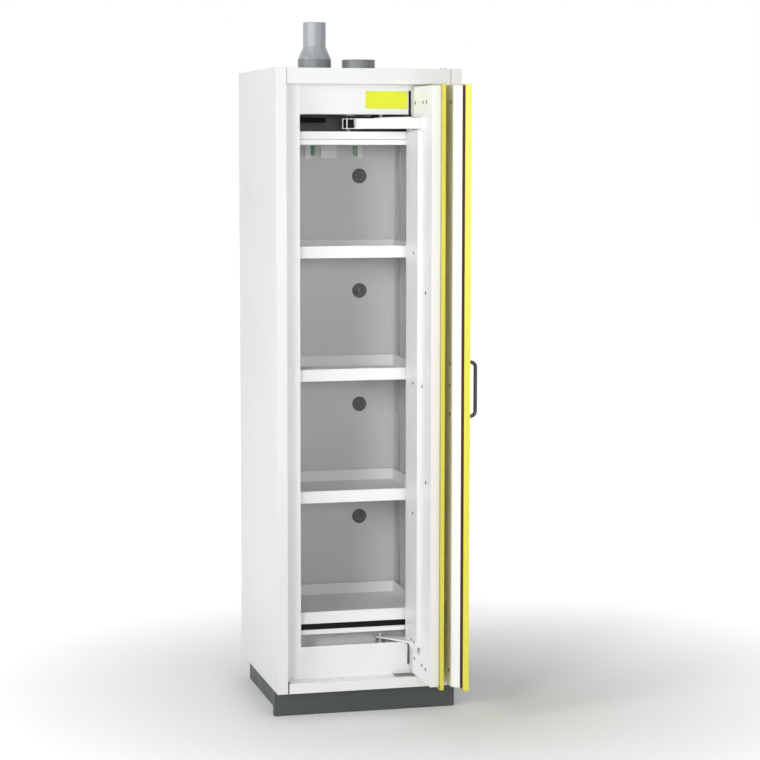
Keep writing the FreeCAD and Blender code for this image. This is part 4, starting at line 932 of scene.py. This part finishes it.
# %% Bright pin on the slider block
ARM_WALL = 2.2 * MM
PIN_STANDS_OFF = 9.0 * MM
slider_middle = at(SLIDER_X, SLIDER_BEHIND, 0)
arm_way = (slider_middle - at(138, -82, 0)).normalized()
to_viewer = Vector((-arm_way.y, arm_way.x, 0))
pin_foot = slider_middle + to_viewer * PIN_STANDS_OFF
pin_foot.z = arm_low.z + ARM_WALL
pin_height = (arm_high.z - ARM_WALL - pin_foot.z) / MM
pin_profile = [(0, 0), (2.6, 0), (2.6, 3), (1.9, 3.6), (1.9, pin_height - 3.6), (2.6, pin_height - 3),
               (2.6, pin_height), (0, pin_height)]
piece("slider_pin", mesh_from(turned_to(UP, pin_foot, pin_profile, 16), "slider_pin"),
      "bright_steel", "left_leaf")
print("slider pin height in mm:", round(pin_height, 1))

# %% [markdown]
# The floor is a broad pale plane with a soft shadow. It must look white where light falls on it, so
# emission for camera and mirror rays lifts it to the backdrop's white: painted light. The lift grows with
# distance, so near the plinth the floor stays a shade darker round its cast shadow, a painted soft
# shadow, and the far floor melts into the backdrop.

# %% Floor
def shown_rays(tree):
    """One for rays that the camera, a mirror or glass sends out, nought for all others."""
    rays = tree.nodes.new("ShaderNodeLightPath")
    direct, every = tree.nodes.new("ShaderNodeMath"), tree.nodes.new("ShaderNodeMath")
    direct.operation = every.operation = "MAXIMUM"
    join_up(tree,
            (rays, "Is Camera Ray", direct, 0), (rays, "Is Glossy Ray", direct, 1),
            (direct, 0, every, 0), (rays, "Is Transmission Ray", every, 1))
    return every


floor_form = bmesh.new()
bmesh.ops.create_grid(floor_form, x_segments=8, y_segments=8, size=40)
floor_mesh = bpy.data.meshes.new("floor")
floor_form.to_mesh(floor_mesh)
floor_form.free()
floor = bpy.data.objects.new("floor", floor_mesh)
bpy.context.scene.collection.objects.link(floor)
floor_finish = Finish("studio_floor", Roughness=0.9)
floor_finish.shader.inputs["Base Color"].default_value = (0.93, 0.93, 0.93, 1)
floor_finish.shader.inputs["Specular IOR Level"].default_value = 0.0
floor_finish.shader.inputs["Emission Color"].default_value = (1, 1, 1, 1)
from_centre = floor_finish.add("ShaderNodeVectorMath", operation="DISTANCE")
floor_finish.tree.links.new(floor_finish.place, from_centre.inputs[0])
from_centre.inputs[1].default_value = (0.1, -0.1, 0)
lift = floor_finish.spread(from_centre.outputs["Value"], 0.45, 2.2, 0.06, 0.75)
shown_lift = floor_finish.add("ShaderNodeMath", operation="MULTIPLY")
floor_finish.tree.links.new(lift, shown_lift.inputs[0])
floor_finish.link(shown_rays(floor_finish.tree), 0, shown_lift, 1)
floor_finish.set("Emission Strength", shown_lift.outputs[0])
floor.data.materials.append(floor_finish.material)

# %% [markdown]
# The backdrop is the world itself: white at strength 1 for rays that the camera, a mirror or glass
# sends out, and a softer level for the light that falls on the cabinet. Four area lamps shape it: a key
# far to the left, a smaller one beside the camera that reaches into the store, a weak spot low in
# front for the rear wall, and a weak fill from the right.

# %% World and lamps
world = bpy.data.worlds.new("studio")
bpy.context.scene.world = world
world.use_nodes = True
sky = world.node_tree
sky.nodes.clear()
AMBIENT = 0.37
level = sky.nodes.new("ShaderNodeMapRange")
level.inputs["To Min"].default_value = AMBIENT
level.inputs["To Max"].default_value = 1.0
background = sky.nodes.new("ShaderNodeBackground")
background.inputs["Color"].default_value = (1, 1, 1, 1)
sky_out = sky.nodes.new("ShaderNodeOutputWorld")
join_up(sky,
        (shown_rays(sky), 0, level, "Value"), (level, "Result", background, "Strength"),
        (background, "Background", sky_out, "Surface"))


def lamp(name, place, target, size, power, spread=180):
    """A square area lamp in watts that looks at a target; spread is in degrees."""
    data = bpy.data.lights.new(name, "AREA")
    data.size, data.energy, data.spread = size, power, math.radians(spread)
    thing = bpy.data.objects.new(name, data)
    bpy.context.scene.collection.objects.link(thing)
    thing.location = place
    thing.rotation_euler = (Vector(target) - Vector(place)).to_track_quat("-Z", "Y").to_euler()


lamp("key", (-6.4, -3.0, 2.8), (0, 0, 1.2), 2.2, 172)
lamp("second", (-4.3, -6.2, 2.6), (0, 0, 1.2), 1.2, 125)
lamp("front", (-1.4, -7.6, 2.0), (0, 0, 1.7), 1.0, 8, spread=42)
lamp("fill", (3.6, -4.2, 2.6), (0, 0, 1.2), 3.0, 18)
scene = bpy.context.scene
scene.view_settings.view_transform = "Standard"
scene.view_settings.look = "None"
for spare in (*turned_heads.values(), dish, link_shape, sheet_blank):
    bpy.data.objects.remove(spare)
print("lamps:", [light.name for light in bpy.data.lights])
